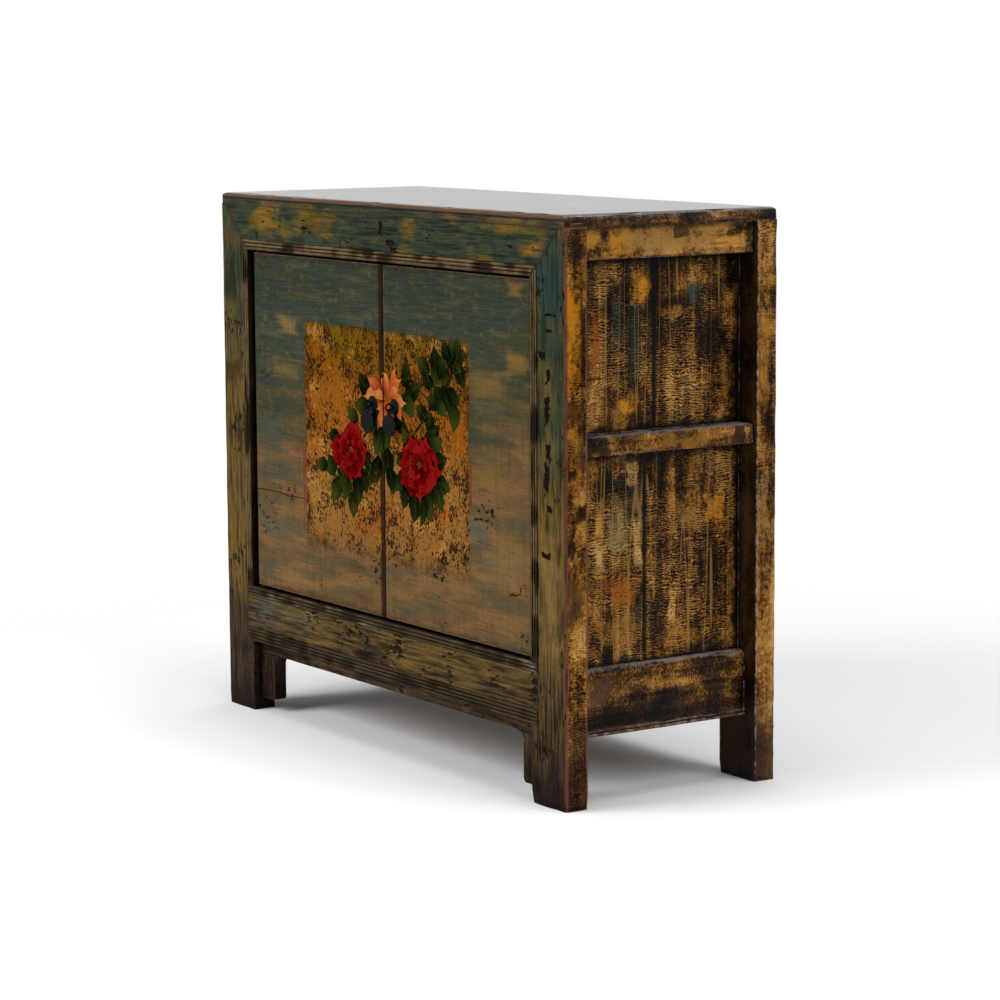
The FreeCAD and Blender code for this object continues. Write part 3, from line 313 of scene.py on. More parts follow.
# Rubbed places on the posts' outer faces: depth and height of the middle and half sizes, in millimetres, and
# the coat laid bare.
POST_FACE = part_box("front_right_post")[1].x
POST_PATCHES = {POST_FACE: (
    (-167, 680, 16, 100, hue(182, 118, 30)),
    (-168, 530, 16, 70, hue(166, 106, 32)),
    (-172, 728, 14, 30, hue(188, 114, 22)),
    (-165, 802, 30, 24, hue(58, 42, 30)),
    (-172, 575, 20, 22, hue(78, 49, 18)),
    (-150, 660, 11, 130, hue(40, 27, 15)),
    (-168, 310, 20, 50, hue(80, 57, 30)),
    (-174, 484, 12, 11, hue(18, 12, 8)),
    (-158, 430, 11, 13, hue(18, 12, 8)),
    (-176, 385, 9, 26, hue(22, 15, 10)),
    (170, 640, 12, 110, hue(164, 112, 46)),
    (170, 430, 12, 80, hue(150, 114, 62)),
)}


def side_coat(place, facing, grain, lift, rough, patches):
    """Colour and height of the sides' lacquer on a piece whose grain runs along one axis."""
    x, y, z = axes(place)
    along = {"X": x, "Y": y, "Z": z}[grain]
    scraped = {"Streaks": STREAKS[grain], "Along": along, "Lift": lift, "Rough": rough}
    scraped = effect(scraped_lacquer, Place=place, **scraped)
    colour, height = scraped["Colour"], scraped["Height"]
    mirrored = add("CombineXYZ", {"X": size(x), "Y": y, "Z": z})
    lit = step(height, 0.26, 0.62)
    for face, rows in patches.items():
        for *spot, coat in rows:
            back, up, deep, high = [length / 1000 for length in spot]
            centre, reach = (face, back, up), (SIDE_REACH, deep, high)
            mask = placed(mirrored, centre, reach, TORN, FLAKES[grain], 0.6)
            colour = tint(colour, mask, 0.9, over(lit, dimmed(coat, 0.2), coat))
    green = worn(place, (13, 13, 13), GRAINS[grain], fray=0.9, edge=0.64, soft=0.08)
    colour = tint(colour, green, 0.5, hue(40, 47, 34))
    aside, ahead, above = axes(facing)
    turned = step(size(aside), 0.7, 0.4)
    shaded = less(height, times(step(ahead, -0.3, -0.7), 0.32))
    shaded = over(step(shaded, 0.26, 0.62), hue(9, 6, 4), hue(52, 34, 22))
    colour = tint(colour, turned, 0.9, shaded)
    # Painted sheen: upward faces where the coat is lighter turn pale grey, as if they mirrored a bright room.
    painted_top_sheen = times(step(above, 0.5, 0.9), lit)
    colour = tint(colour, painted_top_sheen, 0.7, hue(142, 132, 128))
    foot = step(shifted(z, height, 0.12), 0.2, 0.08)
    dark = over(lit, hue(10, 6, 4), hue(50, 31, 22))
    return tint(colour, foot, 0.88, dark), height


def finish_surface(shader, place, grain, colour, height, arris, depth, gloss):
    """Bare wood looking inwards, painted shade in corners, arrises in the given colour, a soft shine
    elsewhere.
    """
    worn_and_shaded = effect(rubbed_and_shaded, Place=place)
    # Painted shade in corners and hollows.
    colour = tint(colour, worn_and_shaded["Painted_Shade"], 0.9, hue(10, 7, 5))
    colour = tint(colour, worn_and_shaded["Arris"], 0.8, arris)
    bare = effect(old_wood, Place=place, Grain=GRAINS[grain])["Colour"]
    inner = effect(looks_in, Place=place)["Mask"]
    shine = calc("ADD", step(height, -0.25, 1.6), times(inner, 0.3))
    surface(shader, over(inner, colour, bare), shine, height, depth, gloss)


# Reeds run round the doors and along both edges of the bottom rail.
REED, DOOR_GAP, REED_FUZZ = 0.0055, 0.004, 0.0003
door_low, door_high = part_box("right_door_meeting_stile")
SILL, LINTEL = door_low.z - DOOR_GAP, door_high.z + DOOR_GAP
RAIL_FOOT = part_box("front_bottom_rail")[0].z
REEDED = (SILL - 3 * REED, LINTEL + 3 * REED), (RAIL_FOOT, RAIL_FOOT + 4 * REED)
REEDED_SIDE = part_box("front_right_post")[0].x + 3 * REED

# Places on the front frame: across and up to the middle and half sizes, in millimetres, and the coat that
# shows there. Nicks go down to the dark ground.
THROUGH = 0.2
FRONT_PATCHES = (
    (-360, 812, 80, 32, hue(136, 104, 30)),
    (-200, 818, 80, 26, hue(116, 92, 34)),
    (360, 830, 90, 14, hue(126, 98, 34)),
    (405, 797, 30, 14, hue(164, 108, 20)),
    (445, 758, 50, 50, hue(46, 68, 64)),
    (-425, 812, 25, 35, hue(44, 66, 60)),
    (-460, 720, 30, 60, hue(42, 50, 32)),
    (-375, 170, 50, 35, hue(100, 102, 86)),
    (-260, 172, 70, 20, hue(112, 98, 66)),
    (120, 165, 120, 22, hue(112, 88, 44)),
    (320, 163, 80, 22, hue(134, 106, 54)),
    (-455, 450, 20, 60, hue(104, 80, 32)),
    (-460, 550, 30, 30, hue(66, 50, 22)),
    (-460, 645, 30, 30, hue(96, 80, 36)),
    (450, 310, 30, 110, hue(134, 107, 60)),
    (445, 600, 20, 60, hue(96, 86, 44)),
)
NICKS = (
    (4, 810, 6, 12), (452, 709, 13, 2.2), (452, 686, 8, 2.2), (430, 650, 9, 6), (447, 622, 6, 10),
    (445, 572, 7, 20), (447, 512, 6, 12), (443, 474, 6, 20), (448, 433, 6, 6), (440, 365, 10, 4),
)


def on_front(place, spot, drift, grain, soft):
    """The mask of one patch on the front, given by its middle and its half sizes in millimetres."""
    x, z, wide, high = [length / 1000 for length in spot]
    return placed(place, (x, FRONT, z), (wide, THROUGH, high), drift, grain, soft)


def front_coat(place, grain):
    """Colour and height of the front's coats, brushed along the grain and chipped to the dark ground."""
    x, y, z = axes(place)
    broad = cloud(place, 7)
    bands = cloud(place, BANDS[grain], detail=5, roughness=0.7)
    strokes = cloud(place, GRAINS[grain], detail=4, roughness=0.7)
    brushed = step(shifted(strokes, bands, 1.0), 0.25, 0.75)
    green = over(brushed, hue(25, 33, 24), hue(60, 70, 53))
    khaki = over(brushed, hue(42, 33, 14), hue(112, 90, 46))
    gold = over(brushed, hue(66, 48, 12), hue(122, 94, 36))
    lower = shifted(shifted(z, broad, 0.6), bands, 0.5)
    lower = calc("ADD", lower, times(step(x, -0.3, -0.45), -0.12))
    colour = over(step(lower, 0.68, 0.42), green, khaki)
    ochre = worn(place, (10, 10, 10), BANDS[grain], fray=0.9, edge=0.56, soft=0.2)
    colour = tint(colour, ochre, 0.75, gold)
    for *spot, coat in FRONT_PATCHES:
        mask = on_front(place, spot, (18, 18, 30), GRAINS[grain], 0.9)
        colour = tint(colour, mask, 0.9, over(brushed, dimmed(coat, 0.4), coat))
    scars = worn(place, BANDS[grain], GRAINS[grain], fray=0.7, edge=0.6, soft=0.14)
    colour = tint(colour, scars, 0.65, hue(26, 20, 11))
    leg = shifted(shifted(z, broad, 0.3), strokes, 0.25)
    brown = over(brushed, hue(17, 11, 8), hue(66, 49, 36))
    colour = over(step(leg, 0.24, 0.08), colour, brown)
    foot = step(shifted(z, bands, 0.08), 0.075, 0.02)
    colour = tint(colour, foot, 0.75, hue(20, 14, 10))
    flaking = less(0.69, times(step(z, 0.3, 0.17), 0.05))
    chips = worn(place, (18, 18, 18), FLAKES[grain], fray=1.2, edge=flaking, soft=0.04)
    for spot in NICKS:
        nick = on_front(place, spot, (110, 110, 110), (420, 420, 260), 0.2)
        chips = calc("MAXIMUM", chips, nick)
    colour = over(chips, colour, hue(20, 13, 8))
    ridge = step(y, FRONT - 0.0001, FRONT - 0.0009)
    reed = step(y, FRONT + 0.0001, FRONT - 0.0003)
    worn_ridge = times(ridge, step(strokes, 0.22, 0.56))
    beside = step(size(x), REEDED_SIDE + REED_FUZZ, REEDED_SIDE - REED_FUZZ)
    for low, high in REEDED:
        reed = calc("MAXIMUM", reed, times(within(z, low, high, REED_FUZZ), beside))
    crest = over(step(z, SILL + 0.01, SILL), hue(114, 92, 62), hue(70, 57, 37))
    colour = over(reed, colour, over(worn_ridge, hue(40, 29, 18), crest))
    # Painted glints: pale highlights along the bottom rail's upper reeds.
    painted_glints = step(cloud(place, (11, 11, 90), detail=6, roughness=0.7), 0.5, 0.68)
    painted_glints = times(painted_glints, step(z, SILL - 0.018, SILL - 0.013), step(z, SILL + 0.022, SILL + 0.012), ridge)
    colour = tint(colour, painted_glints, 0.6, hue(146, 134, 112))
    return colour, less(strokes, chips)


def front_finish(name, grain):
    """The front frame's coats, and the sides' coat on the posts' outer faces."""
    material, shader, place, facing = new_finish(name)
    colour, height = front_coat(place, grain)
    side, scraped = side_coat(place, facing, "Z", 0.14, 0.1, POST_PATCHES)
    outward = size(axes(place)[0])
    aside, ahead, _ = axes(facing)
    outer = times(step(size(aside), 0.55, 0.8), step(outward, POST_FACE - 0.03, POST_FACE - 0.02))
    colour = over(outer, colour, side)
    height = add("Mix", {0: outer, 2: height, 3: scraped})
    corner = step(outward, POST_FACE - 0.0065, POST_FACE - 0.0035)
    arris = over(corner, hue(46, 41, 29), hue(118, 76, 62))
    reddish = over(height, hue(40, 22, 15), hue(122, 76, 62))
    colour = tint(colour, times(corner, step(ahead, 0.0, -0.3)), 0.8, reddish)
    finish_surface(shader, place, grain, colour, height, arris, depth=0.0008, gloss=0.015)
    return material


def put(name, data):
    """A new object in the scene."""
    made = bpy.data.objects.new(name, data)
    bpy.context.scene.collection.objects.link(made)
    return made


SHARP = math.radians(38)


def piece_from(shape, name, material, body):
    """A finished piece in its place, riding on a body of the cabinet."""
    bmesh.ops.recalc_face_normals(shape, faces=shape.faces)
    for face in shape.faces:
        face.smooth = True
    for line in shape.edges:
        line.smooth = line.calc_face_angle(0) < SHARP
    mesh = bpy.data.meshes.new(name)
    shape.to_mesh(mesh)
    shape.free()
    mesh.materials.append(material)
    piece = put(name, mesh)
    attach(piece, body)
    return piece


# Wear of a solid's copy, in metres: the shortest arris that is rounded, the room it needs, the spacing of the
# cuts that let a face wave, and how deep waves, ripples, chips and worn feet go.
WELD, SHORTEST, PROBE, ROOM, CUT = 0.00001, 0.012, 0.003, 0.0025, 0.02
TOUCH, CLEAR, FULL_WAVE = 0.002, 0.0019, 0.018
WAVE, RIPPLE, CHIP, FOOT_WEAR, FOOT_HEIGHT = 0.0005, 0.0003, 0.006, 0.007, 0.012
FLAT_FACE, IN_PLANE, BLUNT, ON_FLOOR = 0.97, 0.01, 1, 0.001
WAVES_PER_M, RIPPLES_PER_M, CHIPS_PER_M, BITES_PER_M = 14, 60, 34, 40
CHIP_PLACES, BITE_PLACES = Vector((7, 3, 5)), Vector((1, 8, 4))


def worn_copy(name, material, soften=0.0025, waves=1.0):
    """A copy that stands for a solid, its free arrises rounded and chipped and its free faces gone wavy."""
    dress(material, name)
    others = bmesh.new()
    for other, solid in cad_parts.items():
        if other != name:
            others.from_mesh(solid.data)
    near = BVHTree.FromBMesh(others)
    others.free()
    shape = bmesh.new()
    shape.from_mesh(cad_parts[name].data)
    bmesh.ops.remove_doubles(shape, verts=shape.verts, dist=WELD)
    bmesh.ops.dissolve_limit(shape, angle_limit=IN_PLANE, verts=shape.verts, edges=shape.edges)
    arrises = []
    for line in shape.edges:
        if not line.is_convex or line.calc_face_angle(0) < BLUNT or line.calc_length() < SHORTEST:
            continue
        outward = sum((face.normal for face in line.link_faces), Vector()).normalized()
        spots = [line.verts[0].co.lerp(line.verts[1].co, share) for share in (0.1, 0.5, 0.9)]
        if all(near.find_nearest(spot + outward * PROBE)[3] > ROOM for spot in spots):
            arrises.append(line)
    rounding = {"offset": soften, "segments": 3, "profile": 0.5, "clamp_overlap": True}
    bmesh.ops.bevel(shape, geom=arrises, affect="EDGES", material=-1, **rounding)
    low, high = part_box(name)
    for axis in range(3):
        cuts = int((high[axis] - low[axis]) / CUT)
        for cut in range(1, cuts):
            spot, across = Vector(), Vector()
            spot[axis], across[axis] = low[axis] + (high[axis] - low[axis]) * cut / cuts, 1
            whole = shape.verts[:] + shape.edges[:] + shape.faces[:]
            bmesh.ops.bisect_plane(shape, geom=whole, plane_co=spot, plane_no=across)
    shape.normal_update()
    for point in shape.verts:
        gap = near.find_nearest(point.co + point.normal * TOUCH)[3]
        if point.co.z < ON_FLOOR or gap < CLEAR:
            continue
        depth = WAVE * (1 + noise.noise(point.co * WAVES_PER_M))
        depth += RIPPLE * noise.noise(point.co * RIPPLES_PER_M)
        depth *= waves * min(1, (gap - CLEAR) / FULL_WAVE)
        if max(abs(share) for share in point.normal) < FLAT_FACE:
            depth += CHIP * max(0, noise.noise(point.co * CHIPS_PER_M + CHIP_PLACES) - 0.05)
        point.co -= point.normal * max(0, depth)
    if "post" in name:
        heart = (low + high) / 2
        for point in [point for point in shape.verts if point.co.z < FOOT_HEIGHT]:
            chewed = noise.noise(Vector((point.co.x, point.co.y, 0)) * BITES_PER_M + BITE_PLACES)
            inward = Vector((heart.x - point.co.x, heart.y - point.co.y, 0))
            worn_in = min(FOOT_WEAR * max(0, chewed + 0.25), inward.length / 2)
            point.co += inward.normalized() * worn_in
    bmesh.ops.triangulate(shape, faces=shape.faces)
    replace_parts(piece_from(shape, f"worn_{name}", material, "carcass"), name)


front_upright, front_level = front_finish("front_upright", "Z"), front_finish("front_level", "X")
for name in ("front_left_post", "front_right_post", "front_left_spandrel", "front_right_spandrel"):
    worn_copy(name, front_upright)
for name in ("front_top_rail", "front_bottom_rail", "front_apron"):
    worn_copy(name, front_level)

# Sides and rear frame: plain rear posts with rails tenoned into them, and pairs of tongued boards that float
# in their grooves. Softwood under dark coats of lacquer, scraped and rubbed through to ochre; the rubbed
# arrises carry painted glints and the upward faces a painted sheen.
PROUD_REED = 0.002
TOP_FACE, MID_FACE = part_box("right_top_rail")[1].x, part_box("right_mid_rail")[1].x
LOW_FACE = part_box("right_bottom_rail")[1].x - PROUD_REED
BOARD_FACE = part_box("right_upper_front_board")[1].x
RAIL_PATCHES = {
    TOP_FACE: (
        (0, 810, 120, 19, hue(160, 120, 62)),
        (-125, 812, 16, 20, hue(172, 122, 46)),
        (-85, 806, 16, 20, hue(180, 120, 36)),
        (118, 800, 24, 16, hue(200, 140, 58)),
        (-107, 816, 9, 12, hue(34, 22, 12)),
        (30, 820, 16, 12, hue(60, 44, 20)),
        (151, 810, 8, 30, hue(40, 28, 15)),
    ),
    MID_FACE: (
        (30, 518, 70, 12, hue(132, 88, 36)),
        (-125, 520, 26, 30, hue(26, 18, 12)),
        (135, 520, 14, 30, hue(38, 27, 21)),
    ),
    LOW_FACE: (
        (-110, 155, 30, 30, hue(70, 52, 34)),
        (100, 143, 35, 14, hue(160, 116, 44)),
        (20, 125, 50, 12, hue(56, 58, 34)),
    ),
}
BOARD_PATCHES = {BOARD_FACE: (
    (-128, 690, 18, 90, hue(72, 46, 20)),
    (-100, 665, 8, 70, hue(142, 76, 20)),
    (-83, 722, 10, 20, hue(14, 9, 6)),
    (-62, 690, 9, 50, hue(50, 62, 44)),
    (-30, 672, 13, 50, hue(42, 62, 52)),
    (-21, 742, 17, 21, hue(190, 124, 32)),
    (-43, 572, 18, 20, hue(200, 132, 36)),
    (77, 728, 18, 22, hue(42, 62, 54)),
    (30, 703, 30, 9, hue(164, 112, 46)),
    (125, 655, 16, 22, hue(14, 9, 6)),
    (128, 600, 12, 40, hue(140, 98, 34)),
    (-60, 458, 50, 24, hue(16, 11, 7)),
    (-36, 470, 11, 18, hue(214, 166, 96)),
    (-60, 390, 24, 35, hue(140, 116, 70)),
    (-94, 400, 9, 20, hue(204, 142, 52)),
    (-93, 355, 8, 20, hue(186, 148, 98)),
    (-26, 375, 9, 40, hue(188, 146, 90)),
    (-55, 300, 35, 30, hue(150, 86, 26)),
    (-60, 240, 45, 24, hue(146, 100, 40)),
    (36, 270, 7, 24, hue(196, 150, 80)),
    (115, 410, 20, 20, hue(184, 120, 36)),
    (88, 330, 9, 35, hue(14, 9, 6)),
    (60, 400, 30, 20, hue(150, 104, 48)),
    (75, 225, 50, 12, hue(160, 110, 40)),
)}
SIDE_RELIEF, SIDE_GLOSS = 0.0016, 0.07


def scraped_finish(name, grain, lift, rough, patches, gloss):
    """The sides' coat on posts and rails whose grain runs along one axis, with glints painted on the arrises.
    """
    material, shader, place, facing = new_finish(name)
    colour, height = side_coat(place, facing, grain, lift, rough, patches)
    # Painted glints on the arrises, in the colour passed as gloss, kept off faces that look down.
    painted_glints = step(cloud(place, 90, roughness=0.7), 0.42, 0.66)
    painted_glints = times(painted_glints, step(axes(facing)[2], -0.4, -0.1))
    arris = over(painted_glints, hue(62, 46, 38), gloss)
    finish_surface(shader, place, grain, colour, height, arris, SIDE_RELIEF, SIDE_GLOSS)
    return material


# Boards: thin pale scratches along the grain, painted shade towards the frame and a dark joint between two
# boards.
side_board, shader, place, facing = new_finish("side_board")
colour, height = side_coat(place, facing, "Z", -0.012, 0.19, BOARD_PATCHES)
_, y, z = axes(place)
scratches = less(cloud(place, (40, 40, 1.3), detail=1), 0.5)
scratches = step(size(scratches), 0.014, 0.004)
colour = tint(colour, scratches, 0.55, hue(150, 114, 64))
rim_wobble = cloud(place, 44, detail=4, roughness=0.7)
front_end, rear_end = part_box("front_right_post")[1].y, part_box("rear_right_post")[0].y
for below, above, board in (
    ("right_mid_rail", "right_top_rail", "right_upper_rear_board"),
    ("right_bottom_rail", "right_mid_rail", "right_lower_rear_board"),
):
    rim = calc("MINIMUM", less(z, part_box(below)[1].z), less(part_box(above)[0].z, z))
    in_field = step(rim, -0.012, -0.01)
    gap = times(size(less(y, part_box(board)[0].y)), 2.5)
    rim = calc("MINIMUM", rim, less(y, front_end), less(rear_end, y), gap)
    # Painted shade along the rails and posts, together with the dark joint between the two boards.
    rim_shade_and_joint = step(shifted(rim, rim_wobble, 0.05), 0.014, 0.001)
    colour = tint(colour, times(rim_shade_and_joint, in_field), 0.88, hue(11, 8, 7))
finish_surface(shader, place, "Z", colour, height, hue(16, 10, 7), SIDE_RELIEF, SIDE_GLOSS)

# Colours of the painted glints on the arrises: pale grey on the sides, a dull brown on the back.
GREY_PAINTED_GLINT, BROWN_PAINTED_GLINT = hue(158, 146, 142), hue(78, 58, 46)
side_upright = scraped_finish("side_upright", "Z", 0.17, 0.1, POST_PATCHES, GREY_PAINTED_GLINT)
side_level = scraped_finish("side_level", "Y", 0.02, 0.06, RAIL_PATCHES, GREY_PAINTED_GLINT)
side_top = scraped_finish("side_top", "Y", 0.1, 0.06, RAIL_PATCHES, GREY_PAINTED_GLINT)
back_level = scraped_finish("back_level", "X", -0.06, 0.06, {}, BROWN_PAINTED_GLINT)
dress(back_level, *[f"rear_{rail}_rail" for rail in ("top", "mid", "bottom")])
for side in ("left", "right"):
    for field in ("upper", "lower"):
        dress(side_board, f"{side}_{field}_front_board", f"{side}_{field}_rear_board")
    worn_copy(f"rear_{side}_post", side_upright)
    worn_copy(f"{side}_top_rail", side_top)
    worn_copy(f"{side}_mid_rail", side_level)
    worn_copy(f"{side}_bottom_rail", side_level)

# Back boards, floor, shelf, battens and bearers: sawn softwood that was never coated and has gone brown. The
# boards are tongued together and lie in grooves or on bearers, and the battens are let into what they hold.


def bare_finish(name, grain, across, joints):
    """Old bare wood whose grain runs along one axis, each board with its own tone and a dark joint."""
    material, shader, place, _ = new_finish(name)
    wood = effect(old_wood, Place=place, Grain=GRAINS[grain])
    figure = cloud(place, STREAKS[grain], detail=6, roughness=0.65)
    colour = tint(wood["Colour"], step(figure, 0.5, 0.68), 0.5, hue(64, 44, 27))
    colour = tint(colour, step(figure, 0.46, 0.3), 0.35, hue(150, 120, 84))
    stains = cloud(place, 5, detail=5, roughness=0.65)
    colour = tint(colour, step(stains, 0.52, 0.62), 0.4, hue(58, 42, 30))
    along = axes(place)["XYZ".index(across)]
    for number, joint in enumerate(joints):
        next_board = step(along, joint - 0.0002, joint + 0.0002)
        tone = hue(66, 46, 28) if number % 2 else hue(142, 110, 74)
        colour = tint(colour, next_board, 0.25, tone)
        gap = step(size(less(along, joint)), 0.0022, 0.0006)
        colour = tint(colour, gap, 0.9, hue(22, 15, 9))
    # Painted shade in corners and hollows.
    colour = over(effect(rubbed_and_shaded, Place=place)["Painted_Shade"], colour, hue(46, 32, 20))
    shine = step(wood["Height"], -1.2, 0.9)
    surface(shader, colour, shine, wood["Height"], depth=0.0006, gloss=0.25)
    return material


back_joints = [corner.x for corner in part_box("back_upper_middle_board")]
bare_upright = bare_finish("bare_upright", "Z", "X", back_joints)
bare_level = bare_finish("bare_level", "X", "Y", [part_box("shelf_rear_board")[0].y])
bare_cross = bare_finish("bare_cross", "Y", "X", [])
for field in ("upper", "lower"):
    dress(bare_upright, *[f"back_{field}_{part}_board" for part in ("left", "middle", "right")])
dress(bare_level, "floor_front_board", "floor_rear_board", "shelf_front_board", "shelf_rear_board")
dress(bare_level, "left_door_battens", "right_door_battens")
dress(bare_cross, "top_battens", "floor_bearers")

# Top: three softwood planks, tongued together and flush with the carcass, held by battens between the rails.
# Dark lacquer that dusting has polished, with the coats of the front and the sides carried up over the edges.
polished_top, shader, place, facing = new_finish("polished_top")
_, y, z = axes(place)
strokes = cloud(place, (6, 160, 160), detail=4, roughness=0.65)
colour = over(strokes, hue(34, 22, 14), hue(98, 74, 54))
figure = cloud(place, STREAKS["X"], detail=6, roughness=0.65)
colour = tint(colour, step(figure, 0.5, 0.66), 0.6, hue(30, 19, 12))
rubbed = worn(place, (7, 9, 9), GRAINS["X"], fray=0.8, edge=0.54, soft=0.2)
colour = tint(colour, rubbed, 0.55, hue(124, 88, 54))
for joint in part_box("top_middle_board"):
    gap = size(less(y, joint.y))
    colour = tint(colour, step(gap, 0.0016, 0.0006), 0.8, hue(16, 10, 7))
aside, ahead, above = axes(facing)
edge, _ = front_coat(place, "X")
lip = less(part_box("top_front_board")[1].z, shifted(z, strokes, 0.004))
edge = tint(edge, step(lip, 0.011, 0.008), 0.85, hue(18, 12, 8))
lip_coat = over(strokes, hue(44, 30, 20), hue(112, 86, 60))
edge = over(step(lip, 0.0075, 0.005), edge, lip_coat)
colour = over(step(ahead, -0.4, -0.7), colour, edge)
side, _ = side_coat(place, facing, "Y", -0.12, 0.06, {})
colour = over(step(size(aside), 0.4, 0.7), colour, side)
worn_and_shaded = effect(rubbed_and_shaded, Place=place)
upward = step(above, 0.7, 0.9)
rubbed = times(worn_and_shaded["Arris"], less(0.6, times(upward, 0.6)))
colour = over(rubbed, colour, hue(66, 46, 38))
shine = less(step(strokes, -0.8, 1.4), times(upward, 0.3))
surface(shader, colour, shine, strokes, depth=0.0005, gloss=0.08, strength=0.2)
join(upward, shader["Coat Weight"])
shader["Coat Roughness"].default_value = 0.08
for name in ("top_front_board", "top_middle_board", "top_rear_board"):
    worn_copy(name, polished_top, soften=0.004, waves=0.15)

# Doors: pivot-hung softwood frames with flush panels, whose edges and backs stay plain. A ground of cloth and
# clay is laid over each front and brushed with lacquer, from blue-green above to a reddish brown below.
door_wood, shader, place, facing = new_finish("door_wood")
bare = effect(old_wood, Place=place, Grain=GRAINS["Z"])
backward = step(axes(facing)[1], 0.5, 0.8)
edge = over(bare["Height"], hue(24, 16, 10), hue(66, 48, 32))
colour = over(backward, edge, bare["Colour"])
shine = step(bare["Height"], -1.0, 1.0)
surface(shader, colour, shine, bare["Height"], depth=0.0005, gloss=0.25)
for side in ("left", "right"):
    for piece in ("pivot_stile", "meeting_stile", "panel", "top_rail", "bottom_rail"):
        dress(door_wood, f"{side}_door_{piece}")

DOOR_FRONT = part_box("right_door_panel")[0].y
DOOR_INNER, DOOR_OUTER = door_low.x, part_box("right_door_pivot_stile")[1].x
DOOR_LOW, DOOR_HIGH = door_low.z, door_high.z
brushed_ground, shader, place, _ = new_finish("brushed_ground")
x, _, z = axes(place)
beside = size(x)
broad = cloud(place, (5, 5, 11))
weft = cloud(place, (11, 11, 330), detail=4, roughness=0.65)
warp = cloud(place, (400, 400, 14))
wiped = cloud(place, (7, 7, 42))
rise = add("MapRange", {"Value": z, "From Min": DOOR_LOW, "From Max": DOOR_HIGH})
for layer, weight in ((broad, 0.35), (wiped, 0.5), (weft, 0.3)):
    rise = shifted(rise, layer, weight)
rise = less(rise, times(step(x, 0.18, 0.3), 0.12))
colour = graded(
    rise,
    (0.0, hue(94, 68, 45)),
    (0.3, hue(98, 75, 46)),
    (0.47, hue(73, 66, 41)),
    (0.62, hue(54, 58, 42)),
    (0.76, hue(44, 57, 49)),
    (1.0, hue(42, 52, 43)),
)
smears = cloud(place, (6, 6, 26), detail=5, roughness=0.62)
muddy = graded(
    shifted(smears, weft, 0.2),
    (0.3, hue(66, 70, 60)),
    (0.42, hue(82, 74, 55)),
    (0.5, hue(97, 74, 46)),
    (0.58, hue(122, 90, 54)),
    (0.7, hue(98, 62, 44)),
)
colour = tint(colour, step(rise, 0.58, 0.36), 0.8, muddy)
mottle = cloud(place, (60, 60, 95), detail=6, roughness=0.7)
colour = tint(colour, step(mottle, 0.52, 0.72), 0.4, hue(124, 98, 54))
colour = tint(colour, step(mottle, 0.46, 0.28), 0.4, hue(46, 48, 36))
WIPES, BRUSHED = (8, 8, 46), (14, 14, 300)
for *spot, coat in (
    (-343, 455, 50, 80, hue(60, 67, 60)),
    (-340, 310, 50, 20, hue(84, 84, 72)),
    (-270, 240, 60, 14, hue(126, 94, 58)),
    (-130, 285, 60, 12, hue(76, 64, 40)),
    (-60, 230, 50, 14, hue(88, 56, 42)),
    (290, 470, 50, 30, hue(116, 87, 40)),
    (255, 377, 35, 22, hue(78, 84, 72)),
    (-285, 643, 45, 22, hue(128, 100, 58)),
    (-300, 572, 60, 18, hue(104, 86, 52)),
    (355, 738, 25, 14, hue(132, 94, 34)),
    (360, 634, 30, 20, hue(124, 92, 38)),
    (280, 588, 50, 28, hue(108, 86, 44)),
    (310, 330, 80, 40, hue(122, 97, 58)),
    (-300, 300, 60, 25, hue(88, 76, 56)),
):
    colour = tint(colour, on_front(place, spot, WIPES, BRUSHED, 0.9), 0.85, coat)

# The painted field across both doors: ochre and orange, with dark green under it, the ground showing through
# as flecks and red smears at its rims.
FIELD_HALF, FIELD_LOW, FIELD_HIGH, FIELD_RAGGED = 0.2355, 0.298, 0.655, 0.026
ragged = cloud(place, 60, detail=5, roughness=0.75)
rim = calc("MINIMUM", less(FIELD_HALF, beside), less(z, FIELD_LOW), less(FIELD_HIGH, z))
rim = shifted(rim, ragged, FIELD_RAGGED)
kept = step(shifted(z, ragged, 0.07), FIELD_LOW - 0.004, FIELD_LOW + 0.024)
field = times(step(rim, -0.002, 0.003), calc("ADD", times(kept, 0.7), 0.3))
height = add("MapRange", {"Value": z, "From Min": FIELD_LOW, "From Max": FIELD_HIGH})
ochres = graded(
    shifted(height, broad, 0.6),
    (0.0, hue(128, 90, 42)),
    (0.35, hue(142, 95, 40)),
    (0.62, hue(140, 82, 16)),
    (0.82, hue(126, 72, 5)),
    (1.0, hue(106, 76, 3)),
)
orange = worn(place, (14, 14, 11), (90, 90, 60), fray=0.6, edge=0.53, soft=0.16)
ochres = tint(ochres, orange, 0.6, hue(148, 72, 6))
pale = worn(place, (19, 19, 26), (120, 120, 160), fray=0.7, edge=0.58, soft=0.1)
ochres = tint(ochres, pale, 0.6, hue(172, 124, 56))
flecks = worn(place, (30, 30, 26), (310, 310, 190), fray=1.8, edge=0.58, soft=0.05)
worn_rim = times(step(rim, 0.03, 0.0), step(ragged, 0.46, 0.58), 0.8)
flecks = calc("MAXIMUM", flecks, worn_rim)
for spot in (
    (160, 595, 55, 45), (185, 555, 25, 40), (0, 470, 30, 60),
    (-100, 410, 60, 25), (110, 405, 55, 22), (70, 545, 30, 50),
):
    shade = on_front(place, spot, (40, 40, 40), (120, 120, 90), 0.9)
    ochres = tint(ochres, shade, 0.6, hue(32, 36, 12))
ochres = tint(ochres, flecks, 0.95, hue(24, 11, 2))
colour = over(field, colour, ochres)
for spot in (
    (-240.5, 400, 4.5, 60), (238.5, 450, 5, 50), (-238, 550, 3, 50), (0, 600, 4, 60),
):
    smear = on_front(place, spot, (60, 60, 20), (90, 90, 90), 0.6)
    colour = tint(colour, smear, 0.75, hue(116, 34, 28))
